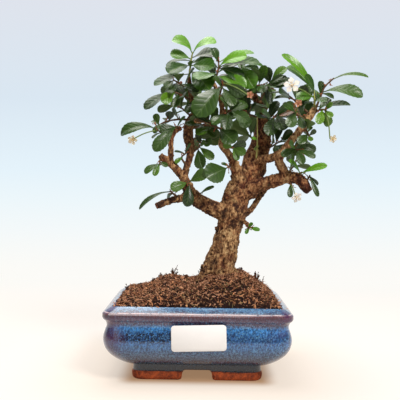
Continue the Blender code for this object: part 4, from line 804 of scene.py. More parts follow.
def glazeMaterial():
    finish, tree, shader, spot = startMaterial("blueGlaze", glaze["gloss"],
                                               **{"Coat Roughness": 0.05, "IOR": 1.5})
    place = put(tree, "SeparateXYZ", {0: spot}).outputs
    slow = grain(tree, spot, 45.0, 2.0)
    quick = grain(tree, spot, 420.0, 3.0, 0.6)
    swing = minus(tree, slow, 0.5)
    wobble = plus(tree, times(tree, swing, 0.0045), times(tree, minus(tree, quick, 0.5), 0.0042))
    wavy = plus(tree, place["Z"], wobble)
    top = glaze["bands"][-1][0]
    bands = ramp(tree, calc(tree, "DIVIDE", wavy, top / 1000),
                 [(height / top, colour) for height, colour in glaze["bands"]])
    # runs of lighter and darker glaze down the belly
    streaks = between(tree, grain(tree, stretched(tree, spot, 0.35), 760.0, 4.0, 0.75), 0.36, 0.64)
    belowNeck = between(tree, times(tree, place["Z"], -1.0), -0.049, -0.045)
    streakShare = plus(tree, 0.2, times(tree, belowNeck, 0.5))
    colour = mixed(tree, streakShare, bands, mixed(tree, streaks, *glaze["streaks"]), "OVERLAY")
    # dark and pale flecks, fewer on the lip
    dark = useGroup(tree, flecks, {"Spot": spot, "Scale": 700.0, "Amount": 0.48, "Softness": 0.05})
    pale = useGroup(tree, flecks, {"Spot": spot, "Scale": 860.0, "Amount": 0.4, "Softness": 0.06})
    offLip = between(tree, offBy(tree, place["Z"], glaze["lipAt"]), 0.0016, 0.003)
    fleckShare = plus(tree, 0.2, times(tree, offLip, 0.5))
    aboveRing = between(tree, place["Z"], 0.011, 0.016)
    paleShare = times(tree, fleckShare, plus(tree, 0.2, times(tree, aboveRing, 0.7)))
    colour = mixed(tree, times(tree, dark["Mask"], fleckShare), colour, glaze["darkFleck"])
    colour = mixed(tree, times(tree, pale["Mask"], paleShare), colour, glaze["paleFleck"])
    # the dark broken line across the belly, thicker to the left
    belt = minus(tree, 1.0, between(tree, offBy(tree, wavy, glaze["beltAt"]), 0.0022, 0.0058))
    broken = useGroup(tree, flecks, {"Spot": spot, "Scale": 900.0, "Amount": 0.6, "Softness": 0.04})
    leftward = between(tree, minus(tree, potFoot.x + 0.075, place["X"]), 0.02, 0.12)
    belt = times(tree, belt, plus(tree, 0.15, times(tree, leftward, 0.85)))
    colour = mixed(tree, times(tree, belt, broken["Mask"]), colour, glaze["belt"])
    # purple where the glaze is thin: round the corners and in the neck
    corner = between(tree, offBy(tree, place["X"], potFoot.x), 0.05, 0.071)
    thin = times(tree, corner, between(tree, slow, 0.38, 0.62))
    colour = mixed(tree, times(tree, thin, 0.75), colour, glaze["thin"])
    # painted highlight: the pale line along the lip's edge, which comes and goes
    line = offBy(tree, plus(tree, place["Z"], times(tree, swing, 0.0006)), glaze["highlightAt"])
    line = minus(tree, 1.0, between(tree, line, 0.0001, 0.00042))
    line = times(tree, line, between(tree, grain(tree, spot, 160.0, 2.0), 0.3, 0.55))
    colour = mixed(tree, times(tree, line, 0.65), colour, glaze["lipHighlight"])
    # bare clay on the feet, below an uneven edge
    clay = useGroup(tree, mottle, {"Spot": spot, "Coarse": 240.0, "Fine": 800.0, "Contrast": 4.0,
                                   "Dark": glaze["clay"][0], "Light": glaze["clay"][1]})
    glazed = between(tree, plus(tree, place["Z"], times(tree, swing, 0.002)), *glaze["clayEdge"])
    tree.links.new(mixed(tree, glazed, clay["Colour"], colour), shader.inputs["Base Color"])
    uneven = plus(tree, glaze["gloss"], times(tree, streaks, 0.14))
    rough = plus(tree, times(tree, glazed, minus(tree, uneven, glaze["clayRoughness"])),
                 glaze["clayRoughness"])
    tree.links.new(rough, shader.inputs["Roughness"])
    tree.links.new(times(tree, glazed, 0.5), shader.inputs["Coat Weight"])
    relief = plus(tree, times(tree, quick, 0.3), times(tree, slow, 1.5))
    relief = plus(tree, relief, times(tree, minus(tree, 1.0, glazed), clay["Height"]))
    bumpOn(tree, shader, relief, 0.0006, 0.5)
    return finish


def makePot():
    outside = [Vector(level) for level in potOutside]
    inside = [Vector(level) for level in potInside]
    levels = []
    for run in (outside[:2], outside[1:17], outside[17:19], outside[18:] + inside[:1], inside[:2],
                inside[1:3], inside[2:]):
        part = [run[0].lerp(run[1], k / 4) for k in range(5)]
        if len(run) > 3:
            part = curvePoints(run, glaze["profileStep"])
        levels += part[1:] if levels else part
    loops = [roundedRectangle(inset, height, radius, glaze["cornerSteps"])
             for inset, height, radius in levels]
    pot = rawObject("rawPot", skin(loops))
    halfX, halfY, top, radius = glaze["plinth"]
    plinth = [roundedLoop(halfX + grow, halfY + grow, height, radius, 10)
              for grow, height in ((-0.5, glaze["footHeight"]), (0.0, glaze["footHeight"] + 0.5),
                                   (0.0, top))]
    helpers = [rawObject("plinth", skin(plinth))]
    boolean(pot, helpers[0], "UNION")
    for sx in (-1, 1):
        for sy in (-1, 1):
            helpers.append(rawObject("foot", footShape(sx, sy)))
            boolean(pot, helpers[-1], "UNION")
    for x in (-glaze["drainX"], glaze["drainX"]):
        ring = [(x + glaze["drainRadius"] * math.cos(a), glaze["drainRadius"] * math.sin(a))
                for a in np.linspace(0, 2 * math.pi, 32, endpoint=False)]
        drain = [[(px, py, height) for px, py in ring] for height in glaze["drainSpan"]]
        helpers.append(rawObject("drain", skin(drain)))
        boolean(pot, helpers[-1], "DIFFERENCE")
    points, faces, _ = takeShape(pot)
    for helper in helpers:
        bpy.data.objects.remove(helper, do_unlink=True)
    addPiece("glazedPot", points, faces, [glazeMaterial()], "glaze", ["pot"], sharp=34)


makePot()
print("pot glazed")

# The soil

soil = {
    "edge": 59.4, "gap": 0.5, "lift": 0.35, "relief": 0.9, "seed": 5, "rings": 40, "sideSteps": (52, 38),
    # height of the mound along the middle of the pot, from left to right
    "ridge": [(-66, 59.4), (-64, 61.5), (-60, 63), (-47, 65.6), (-40, 69), (-33, 73.3), (-27, 75.6),
              (-21, 74.4), (-8, 72.6), (0, 74.8), (8, 79), (24, 81.2), (37, 80.6), (43, 77.4), (54, 70.4),
              (60, 66.5), (64, 62.5), (66, 59.4)],
    "clumps": 110, "clumpSeed": 8, "clumpSize": (1.8, 4.2), "clumpRise": (0.4, 1.9),
    "crumbs": 5600, "crumbSize": (0.3, 1.25, 0.55), "crumbLong": 1.45, "tanShare": 0.12, "chips": 4200,
    "fibres": 1100, "chipLength": (1.6, 4.6), "chipThick": (0.2, 0.5), "fibreLength": (2.5, 8.0),
    "fibreThick": (0.12, 0.24), "stems": 6, "knots": 6,
    # some crumbs and chips spill this far over the wall, tan crumbs gather towards these distances
    # from the middle, and moss grows round these places: x, y and reach
    "spill": 2.6, "litterSpill": 2.0, "dryFrom": (65, 50), "mossAt": [(27, -44, 8), (-6, -44, 6)],
    # loose sprigs of moss and root that stand up from the mound: place and height
    "sprigs": [(-23, 22, 10.5), (-21, 24, 7.0), (-35, 20, 6.5), (-40, 18, 4.5), (-63, 12, 6.0),
               (2, 24, 6.5), (5, 20, 8.0), (38, 20, 4.0), (50, 22, 5.5), (53, 20, 8.0), (57, 18, 8.5),
               (-12, 28, 3.0), (30, 34, 5.0), (3, -9, 6.0), (-30, -6, 3.5), (44, -10, 3.5)],
    "brown": [(0.0, paint(26, 14, 12)), (0.3, paint(58, 30, 24)), (0.58, paint(104, 58, 42)),
              (0.82, paint(164, 106, 80)), (1.0, paint(214, 166, 134))],
    "tan": paint(226, 182, 142), "moss": paint(116, 120, 78), "orange": paint(206, 120, 62),
}
ridgeX, ridgeZ = zip(*soil["ridge"])
clumpDraw = random.Random(soil["clumpSeed"])
clumps = [(clumpDraw.uniform(-62, 62), clumpDraw.uniform(-46, 46), clumpDraw.uniform(*soil["clumpSize"]),
           clumpDraw.uniform(*soil["clumpRise"])) for _ in range(soil["clumps"])]


def soilHeight(x, y):
    ridge = float(np.interp(x, ridgeX, ridgeZ))
    across = max(1 - abs(y / (glaze["depth"] / 2 - glaze["wall"])) ** 3, 0.0)
    rise = (ridge - soil["edge"]) * across ** 0.6
    relief = noise.noise(Vector((x, y, 3.0)) * 0.16) + 0.5 * noise.noise(Vector((x, y, 9.0)) * 0.37)
    height = soil["edge"] + rise + soil["relief"] * relief * min(1.0, rise / 6)
    clump = max((up * math.exp(-((x - cx) ** 2 + (y - cy) ** 2) / size ** 2)
                 for cx, cy, size, up in clumps), default=0.0)
    return height + clump * min(1.0, rise / 3)


def soilMaterial():
    finish, tree, shader, spot = startMaterial("loam", 0.92, **{"Specular IOR Level": 0.25})
    tones = look(tree, "soilLook")
    shade = plus(tree, tones["X"], times(tree, minus(tree, grain(tree, spot, 1300.0), 0.5), 0.9))
    colour = ramp(tree, shade, soil["brown"])
    colour = mixed(tree, tones["Y"], colour,
                   mixed(tree, grain(tree, spot, 60.0), soil["tan"], soil["orange"]))
    colour = mixed(tree, times(tree, tones["Z"], 0.7), colour, soil["moss"])
    tree.links.new(colour, shader.inputs["Base Color"])
    bumpOn(tree, shader, grain(tree, spot, 1600.0, 4.0, 0.7), 0.0004, 0.7)
    return finish


def crumbShape(centre, size, draw, long=1.0):  # an uneven grain of twenty faces
    spin = Quaternion((draw.gauss(0, 1), draw.gauss(0, 1), draw.gauss(0, 1),
                       draw.gauss(0, 1))).normalized()
    stretch = Vector((draw.uniform(0.8, 1.9) * long, draw.uniform(0.6, 1.1) / long,
                      draw.uniform(0.4, 0.9))) * size
    points = []
    for corner in crumbCorners:
        grown = corner * draw.uniform(0.72, 1.2)
        pulled = Vector((grown.x * stretch.x, grown.y * stretch.y, grown.z * stretch.z))
        points.append(tuple(centre + spin @ pulled))
    return points, crumbFaces


golden = (1 + 5 ** 0.5) / 2
crumbCorners = [Vector(c).normalized() for c in (
    (-1, golden, 0), (1, golden, 0), (-1, -golden, 0), (1, -golden, 0), (0, -1, golden), (0, 1, golden),
    (0, -1, -golden), (0, 1, -golden), (golden, 0, -1), (golden, 0, 1), (-golden, 0, -1),
    (-golden, 0, 1))]
crumbFaces = [(0, 11, 5), (0, 5, 1), (0, 1, 7), (0, 7, 10), (0, 10, 11), (1, 5, 9), (5, 11, 4),
              (11, 10, 2), (10, 7, 6), (7, 1, 8), (3, 9, 4), (3, 4, 2), (3, 2, 6), (3, 6, 8), (3, 8, 9),
              (4, 9, 5), (2, 4, 11), (6, 2, 10), (8, 6, 7), (9, 8, 1)]


def soilSpot(draw, reach=0.0):
    wallX, wallY = glaze["width"] / 2 - glaze["wall"], glaze["depth"] / 2 - glaze["wall"]
    halfX, halfY = wallX - 0.3 + reach, wallY - 0.3 + reach
    x, y = draw.uniform(-halfX, halfX), draw.uniform(-halfY, halfY)
    over = max(abs(x) - wallX, abs(y) - wallY, 0.0)  # how far out on the rim
    return x, y, soilHeight(x, y) if over == 0 else 60.4 - 0.55 * over


def makeBed(loam):  # the mound: its sides follow the inside of the pot and stay clear of its floor
    gap, floor = soil["gap"], potInside[-1][1]
    rim = roundedRectangle(glaze["wall"] + gap, 0.0, 6, 8, soil["sideSteps"])
    loops = [roundedRectangle(inset + gap, height + (soil["lift"] if height == floor else 0.0), radius, 8,
                              soil["sideSteps"])
             for inset, height, radius in reversed(potInside[1:])]
    for ring in range(soil["rings"]):
        share = 1 - (ring / soil["rings"]) ** 1.05
        loop = []
        for x, y, _ in rim:
            spot = Vector((x * share, y * share, 1.0))
            rough = noise.noise(spot * 0.8) + noise.noise(spot * 1.9)
            loop.append((spot.x, spot.y, soilHeight(spot.x, spot.y) - 0.5 + 0.45 * rough))
        loops.append(loop)
    bed = Gather("soilLook")
    bed.add(*skin(loops), soilLook=(0.08, 0.0, 0.0))
    bed.piece("soilBed", [loam], "soil", ["soil"], sharp=180)


def makeCrumbs(loam, draw):
    top = Gather("soilLook")
    farX, farY = soil["dryFrom"]
    for order in range(soil["crumbs"]):
        x, y, height = soilSpot(draw, soil["spill"] if order % 9 == 0 else 0.0)
        nearEdge = max(abs(x) / farX, abs(y) / farY) ** 6
        size = draw.triangular(*soil["crumbSize"])
        isTan = draw.random() < soil["tanShare"] + 0.4 * max(0.0, -y / farY) * nearEdge
        isMossy = any(abs(y - mossY) < 7 and abs(x - mossX) < reach
                      for mossX, mossY, reach in soil["mossAt"])
        green = draw.uniform(0.5, 0.9) if draw.random() < (0.45 if isMossy else 0.05) else 0.0
        shade = draw.betavariate(0.4, 0.6)
        tan = draw.uniform(0.4, 1.0) if isTan else draw.uniform(0, 0.12)
        centre = Vector((x, y, height + draw.uniform(-0.7, 0.9) * size))
        top.add(*crumbShape(centre, size, draw, soil["crumbLong"]), soilLook=(shade, tan, green))
    top.piece("soilCrumbs", [loam], "soil", sharp=25)


def addLitter(litter, draw):  # chips of bark, and thin fibres that bend
    for order in range(soil["chips"] + soil["fibres"]):
        x, y, height = soilSpot(draw, soil["litterSpill"] if order % 12 == 0 else 0.0)
        isChip = order < soil["chips"]
        length = draw.uniform(*soil["chipLength" if isChip else "fibreLength"])
        heading = draw.uniform(0, 2 * math.pi)
        ahead = Vector((math.cos(heading), math.sin(heading), draw.uniform(-0.3, 0.7))).normalized()
        bend = Vector((draw.uniform(-1, 1), draw.uniform(-1, 1), draw.uniform(-0.4, 0.4))) * length * 0.16
        base = Vector((x, y, height + 0.5))
        steps = 1 if isChip else 4
        middle = [base + ahead * length * (t - 0.5) + bend * (4 * t * (1 - t))
                  for t in [k / steps for k in range(steps + 1)]]
        thick = draw.uniform(*soil["chipThick" if isChip else "fibreThick"])
        radii = [thick] + [thick * 0.8] * (steps - 1) + [thick * 0.4]
        shape = tube(middle, radii, 4 if isChip else 3)
        shade = draw.betavariate(0.4, 0.5)
        tan = draw.random() ** 5 if isChip else draw.uniform(0.1, 0.9)
        litter.add(*shape, soilLook=(shade, tan, 0.0))


def addSprigs(litter, draw):  # stems with small knots that stand up from the mound
    for x, y, tall in soil["sprigs"]:
        root = Vector((x, y, soilHeight(x, y) - 0.5))
        for _ in range(soil["stems"]):
            lean = Vector((draw.uniform(-0.5, 0.5), draw.uniform(-0.3, 0.3), 1)).normalized()
            size = tall * draw.uniform(0.4, 1.0)
            middle = [root]
            for t in (0.35, 0.7, 1):
                sway = Vector((draw.uniform(-1, 1), draw.uniform(-1, 1), 0))
                middle.append(root + lean * size * t + sway * 0.4 * t)
            shape = tube(middle, [0.42, 0.36, 0.3, 0.16], 5)
            litter.add(*shape, soilLook=(draw.uniform(0.1, 0.4), 0.08, 0.0))
            for _ in range(soil["knots"]):
                at = middle[draw.choice((1, 2, 3))]
                at = at + Vector((draw.uniform(-0.6, 0.6), 0, draw.uniform(-0.5, 0.5)))
                shape = crumbShape(at, draw.uniform(0.35, 0.6), draw)
                litter.add(*shape, soilLook=(draw.uniform(0.0, 0.5), 0.05, 0.0))


def makeSoil():
    loam = soilMaterial()
    draw = random.Random(soil["seed"])
    makeBed(loam)
    makeCrumbs(loam, draw)
    litter = Gather("soilLook")
    addLitter(litter, draw)
    addSprigs(litter, draw)
    litter.piece("soilLitter", [loam], "soil", sharp=40)


makeSoil()
print("soil heaped")

# The wood

wood = {
    # heights of the soil, of the pale stretch of the trunk and of its dark left foot
    "soilLine": 74, "paleTrunk": (76, 135), "darkFoot": (15, 92),
    "swell": 0.11, "swellScale": 0.11, "voxel": 0.62, "bumps": 420, "seed": 11,
    "tones": [(0.0, paint(30, 17, 12)), (0.26, paint(72, 44, 28)), (0.5, paint(132, 94, 62)),
              (0.76, paint(190, 150, 105)), (1.0, paint(224, 190, 142))],
    "red": paint(124, 58, 38), "redPatches": 0.6, "contrast": 1.2, "lichen": paint(120, 116, 74),
    "cutFace": (paint(84, 30, 22), paint(150, 96, 66)),
    # how red each limb is and how dark; the leader's darkness is painted shade under the leaves
    "limbLook": {"leader": (0.5, 0.22), "leader_top": (0.5, 0.2), "right_limb": (0.55, 0.08),
                 "right_rise": (0.16, -0.2), "cross_limb": (0.35, 0.0), "left_rise": (0.35, 0.12),
                 "left_arm": (0.4, 0.04), "inner_left": (0.12, -0.06), "left_limb": (0.22, 0.0),
                 "left_stub": (0.3, 0.04), "twig_right": (0.1, 0.16), "bud_twig": (0.1, 0.2)},
    "cuts": ("low_stub", "left_stub", "right_limb", "left_arm", "right_rise"),
    # the fork's painted shade: its height and reach
    "fork": (143.0, 22.0), "scar": ((21.3, -14.5, 91.0), (1.6, 6.0, 5.0), 2.6),
    "smoothSpot": ((30.0, -12.0, 128.0), 13.0),
    "knobs": [(4.2, -6.0, 87.0, 1.8), (2.6, -6.5, 82.5, 1.5), (6.5, -5.0, 90.5, 1.3),
              (0.5, -7.0, 78.5, 1.6), (14.0, -9.5, 104.0, 1.2), (11.5, -8.0, 99.0, 1.4)],
}


def barkMaterial():
    finish, tree, shader, spot = startMaterial("bark", 0.86, **{"Specular IOR Level": 0.3})
    looks = look(tree, "barkLook")
    tall = stretched(tree, spot, 0.5)
    flakes = useGroup(tree, mottle, {"Spot": tall, "Coarse": 420.0, "Fine": 1500.0, "Contrast": 3.0})
    shade = plus(tree, times(tree, looks["X"], 0.62),
                 times(tree, put(tree, "RGBToBW", {0: flakes["Colour"]}).outputs[0], 0.38))
    shade = plus(tree, times(tree, minus(tree, shade, 0.52), wood["contrast"]), 0.48, clamp=True)
    colour = ramp(tree, shade, wood["tones"])
    patches = between(tree, grain(tree, spot, 110.0, 3.0), 0.5, 0.66)
    patches = times(tree, patches, wood["redPatches"])
    redShare = times(tree, plus(tree, looks["Y"], patches, clamp=True), 0.5)
    colour = mixed(tree, redShare, colour, wood["red"], "SOFT_LIGHT")
    colour = mixed(tree, times(tree, redShare, 0.55), colour, wood["red"])
    grey = between(tree, grain(tree, spot, 75.0, 4.0, 0.7), 0.58, 0.7)
    colour = mixed(tree, times(tree, grey, 0.3), colour, wood["lichen"])
    pits = useGroup(tree, flecks, {"Spot": tall, "Scale": 900.0, "Amount": 0.44, "Softness": 0.1})["Mask"]
    colour = mixed(tree, times(tree, pits, 0.4), colour, paint(44, 26, 18))
    long = stretched(tree, spot, 0.3)
    seam = offBy(tree, grain(tree, long, 330.0, 3.0, 0.6), 0.5)
    seam = minus(tree, 1.0, between(tree, seam, 0.004, 0.03))
    pits = calc(tree, "MAXIMUM", pits,
                times(tree, seam, between(tree, grain(tree, spot, 150.0, 2.0), 0.42, 0.56)))
    colour = mixed(tree, times(tree, seam, times(tree, pits, 0.75)), colour, paint(40, 24, 16))
    pale = between(tree, grain(tree, long, 240.0, 4.0, 0.65), 0.56, 0.68)
    colour = mixed(tree, times(tree, pale, 0.2), colour, paint(206, 176, 132))
    cutTone = mixed(tree, grain(tree, spot, 700.0), wood["cutFace"][0], wood["cutFace"][1])
    colour = mixed(tree, looks["Z"], colour, cutTone)
    tree.links.new(colour, shader.inputs["Base Color"])
    bumpOn(tree, shader, minus(tree, flakes["Height"], times(tree, pits, 0.35)), 0.0009, 0.8)
    return finish


def largestShell(count, faces):  # the faces of the shell with the most faces
    owner = list(range(count))

    def find(i):
        while owner[i] != i:
            owner[i] = owner[owner[i]]
            i = owner[i]
        return i

    for face in faces:
        for corner in face[1:]:
            owner[find(corner)] = find(face[0])
    shells = {}
    for face in faces:
        shells.setdefault(find(face[0]), []).append(face)
    return max(shells.values(), key=len)


def roughWood(draw):  # all the limbs, with knots and leaf scars on them, as one skin
    raw = Gather()
    rings = []  # along each limb: centre, radius, direction, the limb's name and rings to its end
    for name in limbs:
        raw.add(*limbShape(name, 1.6, 20))
        rows = curvePoints([Vector(p) for p in limbs[name]], 1.5)
        for i, row in enumerate(rows):
            ahead = (rows[min(i + 1, len(rows) - 1)].xyz - rows[max(i - 1, 0)].xyz).normalized()
            rings.append((row.xyz, row[3], ahead, name, len(rows) - 1 - i))
    for _ in range(wood["bumps"]):
        centre, radius, ahead, _, left = draw.choice(rings)
        if centre.z < wood["soilLine"] or left < 2:
            continue
        away = ahead.cross(Vector((draw.gauss(0, 1), draw.gauss(0, 1), draw.gauss(0, 1)))).normalized()
        size = min(draw.uniform(0.22, 0.42) * radius + 0.25, 2.2)
        raw.add(*crumbShape(centre + away * (radius - 0.25 * size), size, draw))
    for x, y, z, size in wood["knobs"]:
        raw.add(*crumbShape(Vector((x, y, z)), size, draw))
    rough = rawObject("rawWood", (raw.points, raw.faces))
    remesh = rough.modifiers.new("remesh", "REMESH")
    remesh.mode, remesh.voxel_size, remesh.adaptivity = "VOXEL", wood["voxel"], 0.0
    smooth = rough.modifiers.new("smooth", "SMOOTH")
    smooth.factor, smooth.iterations = 0.5, 2
    points, faces, normals = takeShape(rough)
    return points, largestShell(len(points), faces), normals, rings


def barkAt(spot, out, ring):  # how high the bark stands at a spot, and its tone, redness and cut
    _, radius, ahead, name, left = ring
    scarAt, scarSize, scarDepth = wood["scar"]
    smoothAt, smoothReach = wood["smoothSpot"]
    size = min(1.0, 0.3 + radius / 11)
    calm = 1 - 0.6 * math.exp(-((spot - Vector(smoothAt)).length / smoothReach) ** 2)
    tall = Vector((spot.x, spot.y, spot.z * 0.6))
    ridges = 1 - 2.2 * abs(noise.noise(tall * 0.34))
    plates = noise.noise(tall * 0.85 + Vector((7, 3, 1)))
    fineGrain = noise.noise(spot * 1.9)
    pit = max(0.0, noise.noise(spot * 0.5 + Vector((17, 5, 9))) - 0.22)
    flake = noise.noise(spot * 1.1 + Vector((3, 8, 5)))
    scar = math.exp(-sum(((spot[k] - scarAt[k]) / scarSize[k]) ** 2 for k in range(3)))
    height = size * calm * (0.42 * ridges + 0.6 * plates + 0.4 * flake + 0.3 * fineGrain - 2.6 * pit)
    height -= scarDepth * scar
    # lighter on ridges and plates, darker in pits; painted shade on the left and below, away from the key
    # lamp, and in patches at the fork, under the leaves
    redness, dark = wood["limbLook"].get(name, (0.0, 0.0))
    tone = 0.6 + 0.46 * (0.42 * ridges + 0.55 * plates + 0.35 * flake) / 0.6
    tone -= 1.1 * pit + dark + 0.8 * scar
    tone += 0.12 * (1 - calm) + 0.2 * noise.noise(spot * 0.11)
    # painted shade where the bark faces left and where it faces down
    tone -= 0.16 * max(0.0, -out.x) + 0.12 * max(0.0, -out.z)
    if spot.z < wood["darkFoot"][1] and spot.x < wood["darkFoot"][0]:
        tone -= 0.12
    # painted shade: dark patches round the fork, where the leaves shade the limbs
    fork = math.exp(-((spot.z - wood["fork"][0]) / wood["fork"][1]) ** 2)
    tone -= (0.25 + 0.75 * fork) * max(0.0, noise.noise(spot * 0.17 + Vector((4, 2, 6))) + 0.1) * 1.1
    low, high = wood["paleTrunk"]
    if name == "trunk" and low < spot.z < high:
        tone += 0.1 * math.sin(math.pi * (spot.z - low) / (high - low))
    isCut = left < 2 and name in wood["cuts"] and out.dot(ahead) > 0.75
    return height, (min(max(tone, 0.0), 1.0), redness, 1.0 if isCut else 0.0)


def makeWood():
    points, faces, normals, rings = roughWood(random.Random(wood["seed"]))
    nearest = KDTree(len(rings))
    for i, (centre, *_) in enumerate(rings):
        nearest.insert(centre, i)
    nearest.balance()
    moved, looks = [], []
    for point, normal in zip(points, normals):
        spot, out = Vector(point), Vector(normal)
        height, tones = barkAt(spot, out, rings[nearest.find(spot)[1]])
        moved.append(spot + out * height)
        looks.append(tones)
    addPiece("barkedWood", moved, faces, [barkMaterial()], "bark", ["trunk"], 180, {"barkLook": looks})


makeWood()
print("wood barked")

# The leaves

leaf = {
    "fold": math.radians(17), "petiole": 0.55, "longFrom": 20.5, "treeMiddle": Vector((30.0, 8.0, 205.0)),
    "upward": 0.8, "toTheSide": 0.8, "outward": 0.5, "thickness": 0.34, "across": 4,
    "green": {"deep": paint(16, 34, 10), "mid": paint(48, 78, 22), "fresh": paint(98, 144, 22),
              "under": paint(96, 120, 68), "dry": paint(150, 96, 52)},
    "new": {"deep": paint(24, 54, 16), "mid": paint(56, 98, 20), "fresh": paint(98, 156, 18),
            "under": paint(116, 146, 62), "dry": paint(168, 116, 60)},
    "roughness": 0.32, "dryShare": 0.035, "dryness": -0.85, "usualFreshness": 0.05,
    # share of the length, share of the half-width, and whether a tooth stands or a notch cuts in there
    "edge": [(0.0, 0.0, 0), (0.06, 0.0, 0), (0.12, 0.0, 0), (0.20, 0.15, 0), (0.30, 0.38, 0),
             (0.41, 0.62, 0), (0.52, 0.82, 0), (0.61, 0.96, 1), (0.64, 0.98, -1), (0.715, 1.0, 1),
             (0.745, 0.985, -1), (0.81, 0.92, 1), (0.84, 0.87, -1), (0.90, 0.72, 1), (0.925, 0.62, -1),
             (0.97, 0.36, 0)],
    # how fresh the chosen leaves of some shoots are, from dark to yellow-green
    "freshness": {"crest_left": (0.7, 0.95, 0.0, 0.45, 0.0, 0.05, 0.0, 0.0, 0.0, 0.1),
                  "left_sweep": (0.0, 0.75, 0.1, 0.0), "left_bud": (0.35, 0.3, 0.0, 0.0),
                  "stub_left": (0.1, 0.45, 0.2), "rise_low": (0.55, 0.0, 0.1),
                  "rise_right": (0.1, 0.5, 0.0, 0.05), "fork_spray": (0.3, 0.25, 0.0),
                  "inner_low": (0.3, 0.6, 0.4), "crest_mid": (0.55, 0.05, 0.1, 0.55, 0.0, 0.0, 0.95),
                  "crest_right": (0.35, 0.1, 0.4, 0.1), "lead_right": (0.5, 0.05, 0.1, 0.0),
                  "right_crest": (0.7, 0.05, 0.3, 0.0, 0.0), "right_reach": (0.35, 0.1, 0.0),
                  "under_right": (0.5, 0.15, 0.4), "limb_new": (0.85, 0.7), "limb_bud": (0.3,),
                  "trunk_bud": (0.5, 0.6, 0.4), "young_shoot": (0.9,),
                  "right_cluster": (0.8, 0.5, 0.8, 0.5), "right_low": (0.6, 0.3, 0.1),
                  "mid_fan": (0.05, 0.0, 0.1)},
}
twig = {"radius": 0.95, "tipRadius": 0.75, "seatGap": 0.3,
        "bark": (paint(50, 34, 24), paint(124, 92, 62)),
        "youngBark": (paint(134, 140, 66), paint(194, 190, 112)), "twiglets": 5,
        "twigletReach": (2.0, 6.0), "scale": (paint(84, 40, 24), paint(176, 104, 58)),
        "bud": (paint(150, 40, 30), paint(206, 110, 70)),
        # buds on the young shoot: share of its length, how many and of which kind
        "shootBuds": [(0.0, 6, "redBud"), (0.3, 5, "cup"), (0.36, 4, "cup")],
        # the shoots with green bark, and how thick each is beside the others
        "young": {"young_shoot": 0.66, "crest_left": 1.0, "right_crest": 1.0}}
longRib, shortRib = [0.0, 0.40, 0.74, 1.0], [0.0, 0.52, 1.0]
chosenTries = [(1.0, False), (0.88, False), (1.0, True), (0.88, True), (0.76, True), (0.64, True)]
depthTries = [0, -3, 3, -6, 6, -9, 9, -12]
rollTries = [0.0, 0.5, -0.5]
shrinkTries = [1.0, 0.85, 0.7, 0.58]
turnTries = [0, 0.35, -0.35, 0.7, -0.7, 1.1, -1.1, 1.6, -1.6, 2.2]
bloom = {
    "sepal": [(-0.6, 0.7), (0.6, 1.15), (1.7, 1.2)],  # how far forward and how far out
    "depth": 2.2, "stalk": 0.5, "cup": 1.3, "petalRows": 7, "petalColumns": 6,
    "wilt": {"white": 0.0, "cream": 0.5, "faded": 1.0},
    "petal": {"white": (paint(254, 250, 244), paint(238, 226, 204)),
              "cream": (paint(250, 240, 216), paint(222, 200, 146)),
              "faded": (paint(216, 164, 134), paint(170, 100, 68))},
    "anther": paint(176, 120, 50), "cupTones": (paint(70, 96, 40), paint(140, 160, 80)),
}

# Lines of veins: the middle rib and slanting side veins, with the relief that they make
veins, given, result = makeGroup("leafVeins", [("Across", "Float", 0.0), ("Along", "Float", 0.5),
                                               ("Pairs", "Float", 7.0)],
                                 [("Rib", "Float"), ("Veins", "Float"), ("Height", "Float")])
away = calc(veins, "ABSOLUTE", given["Across"])
rib = minus(veins, 1.0, between(veins, away, 0.03, 0.11))
slant = minus(veins, given["Along"], times(veins, calc(veins, "POWER", away, 0.8), 0.22))
phase = calc(veins, "FRACT", times(veins, slant, given["Pairs"]))
nearLine = offBy(veins, phase, 0.5)
line = minus(veins, 1.0, between(veins, nearLine, 0.03, 0.14))
fade = minus(veins, 1.0, between(veins, away, 0.6, 0.98))
veins.links.new(rib, result["Rib"])
line = times(veins, line, fade)
veins.links.new(line, result["Veins"])
dome = times(veins, nearLine, 0.9)
veins.links.new(minus(veins, dome, plus(veins, times(veins, line, 0.35), rib)), result["Height"])


def leafMaterial(name, colours):
    finish, tree, shader, spot = startMaterial(name, leaf["roughness"],
                                               **{"Coat Roughness": 0.2, "IOR": 1.42})
    place, looks = look(tree, "leafPlace"), look(tree, "leafLook")
    lines = useGroup(tree, veins, {"Across": place["X"], "Along": place["Y"]})
    colour = mixed(tree, looks["X"], colours["deep"], colours["mid"])
    colour = mixed(tree, times(tree, looks["Y"], 1.0, clamp=True), colour, colours["fresh"])
    blotch = useGroup(tree, mottle, {"Spot": spot, "Coarse": 220.0, "Fine": 900.0, "Contrast": 1.6,
                                     "Dark": (0.68, 0.68, 0.68, 1), "Light": (1.25, 1.25, 1.15, 1)})
    colour = mixed(tree, 1.0, colour, blotch["Colour"], "MULTIPLY")
    colour = mixed(tree, times(tree, lines["Veins"], 0.14), colour, colours["fresh"])
    colour = mixed(tree, times(tree, lines["Rib"], 0.34), colour, colours["under"])
    rim = between(tree, calc(tree, "ABSOLUTE", place["X"]), 0.9, 1.0)
    colour = mixed(tree, times(tree, rim, 0.2), colour, colours["fresh"])
    colour = mixed(tree, times(tree, looks["Y"], -1.0, clamp=True), colour, colours["dry"])
    colour = mixed(tree, times(tree, looks["Z"], 0.62), colour, colours["under"])
    tree.links.new(colour, shader.inputs["Base Color"])
    rough = plus(tree, leaf["roughness"], times(tree, blotch["Height"], 0.12))
    tree.links.new(plus(tree, rough, times(tree, looks["Z"], 0.25)), shader.inputs["Roughness"])
    tree.links.new(times(tree, minus(tree, 1.0, looks["Z"]), 0.2), shader.inputs["Coat Weight"])
    bumpOn(tree, shader, plus(tree, lines["Height"], times(tree, blotch["Height"], 0.5)), 0.0003, 0.7)
    return finish


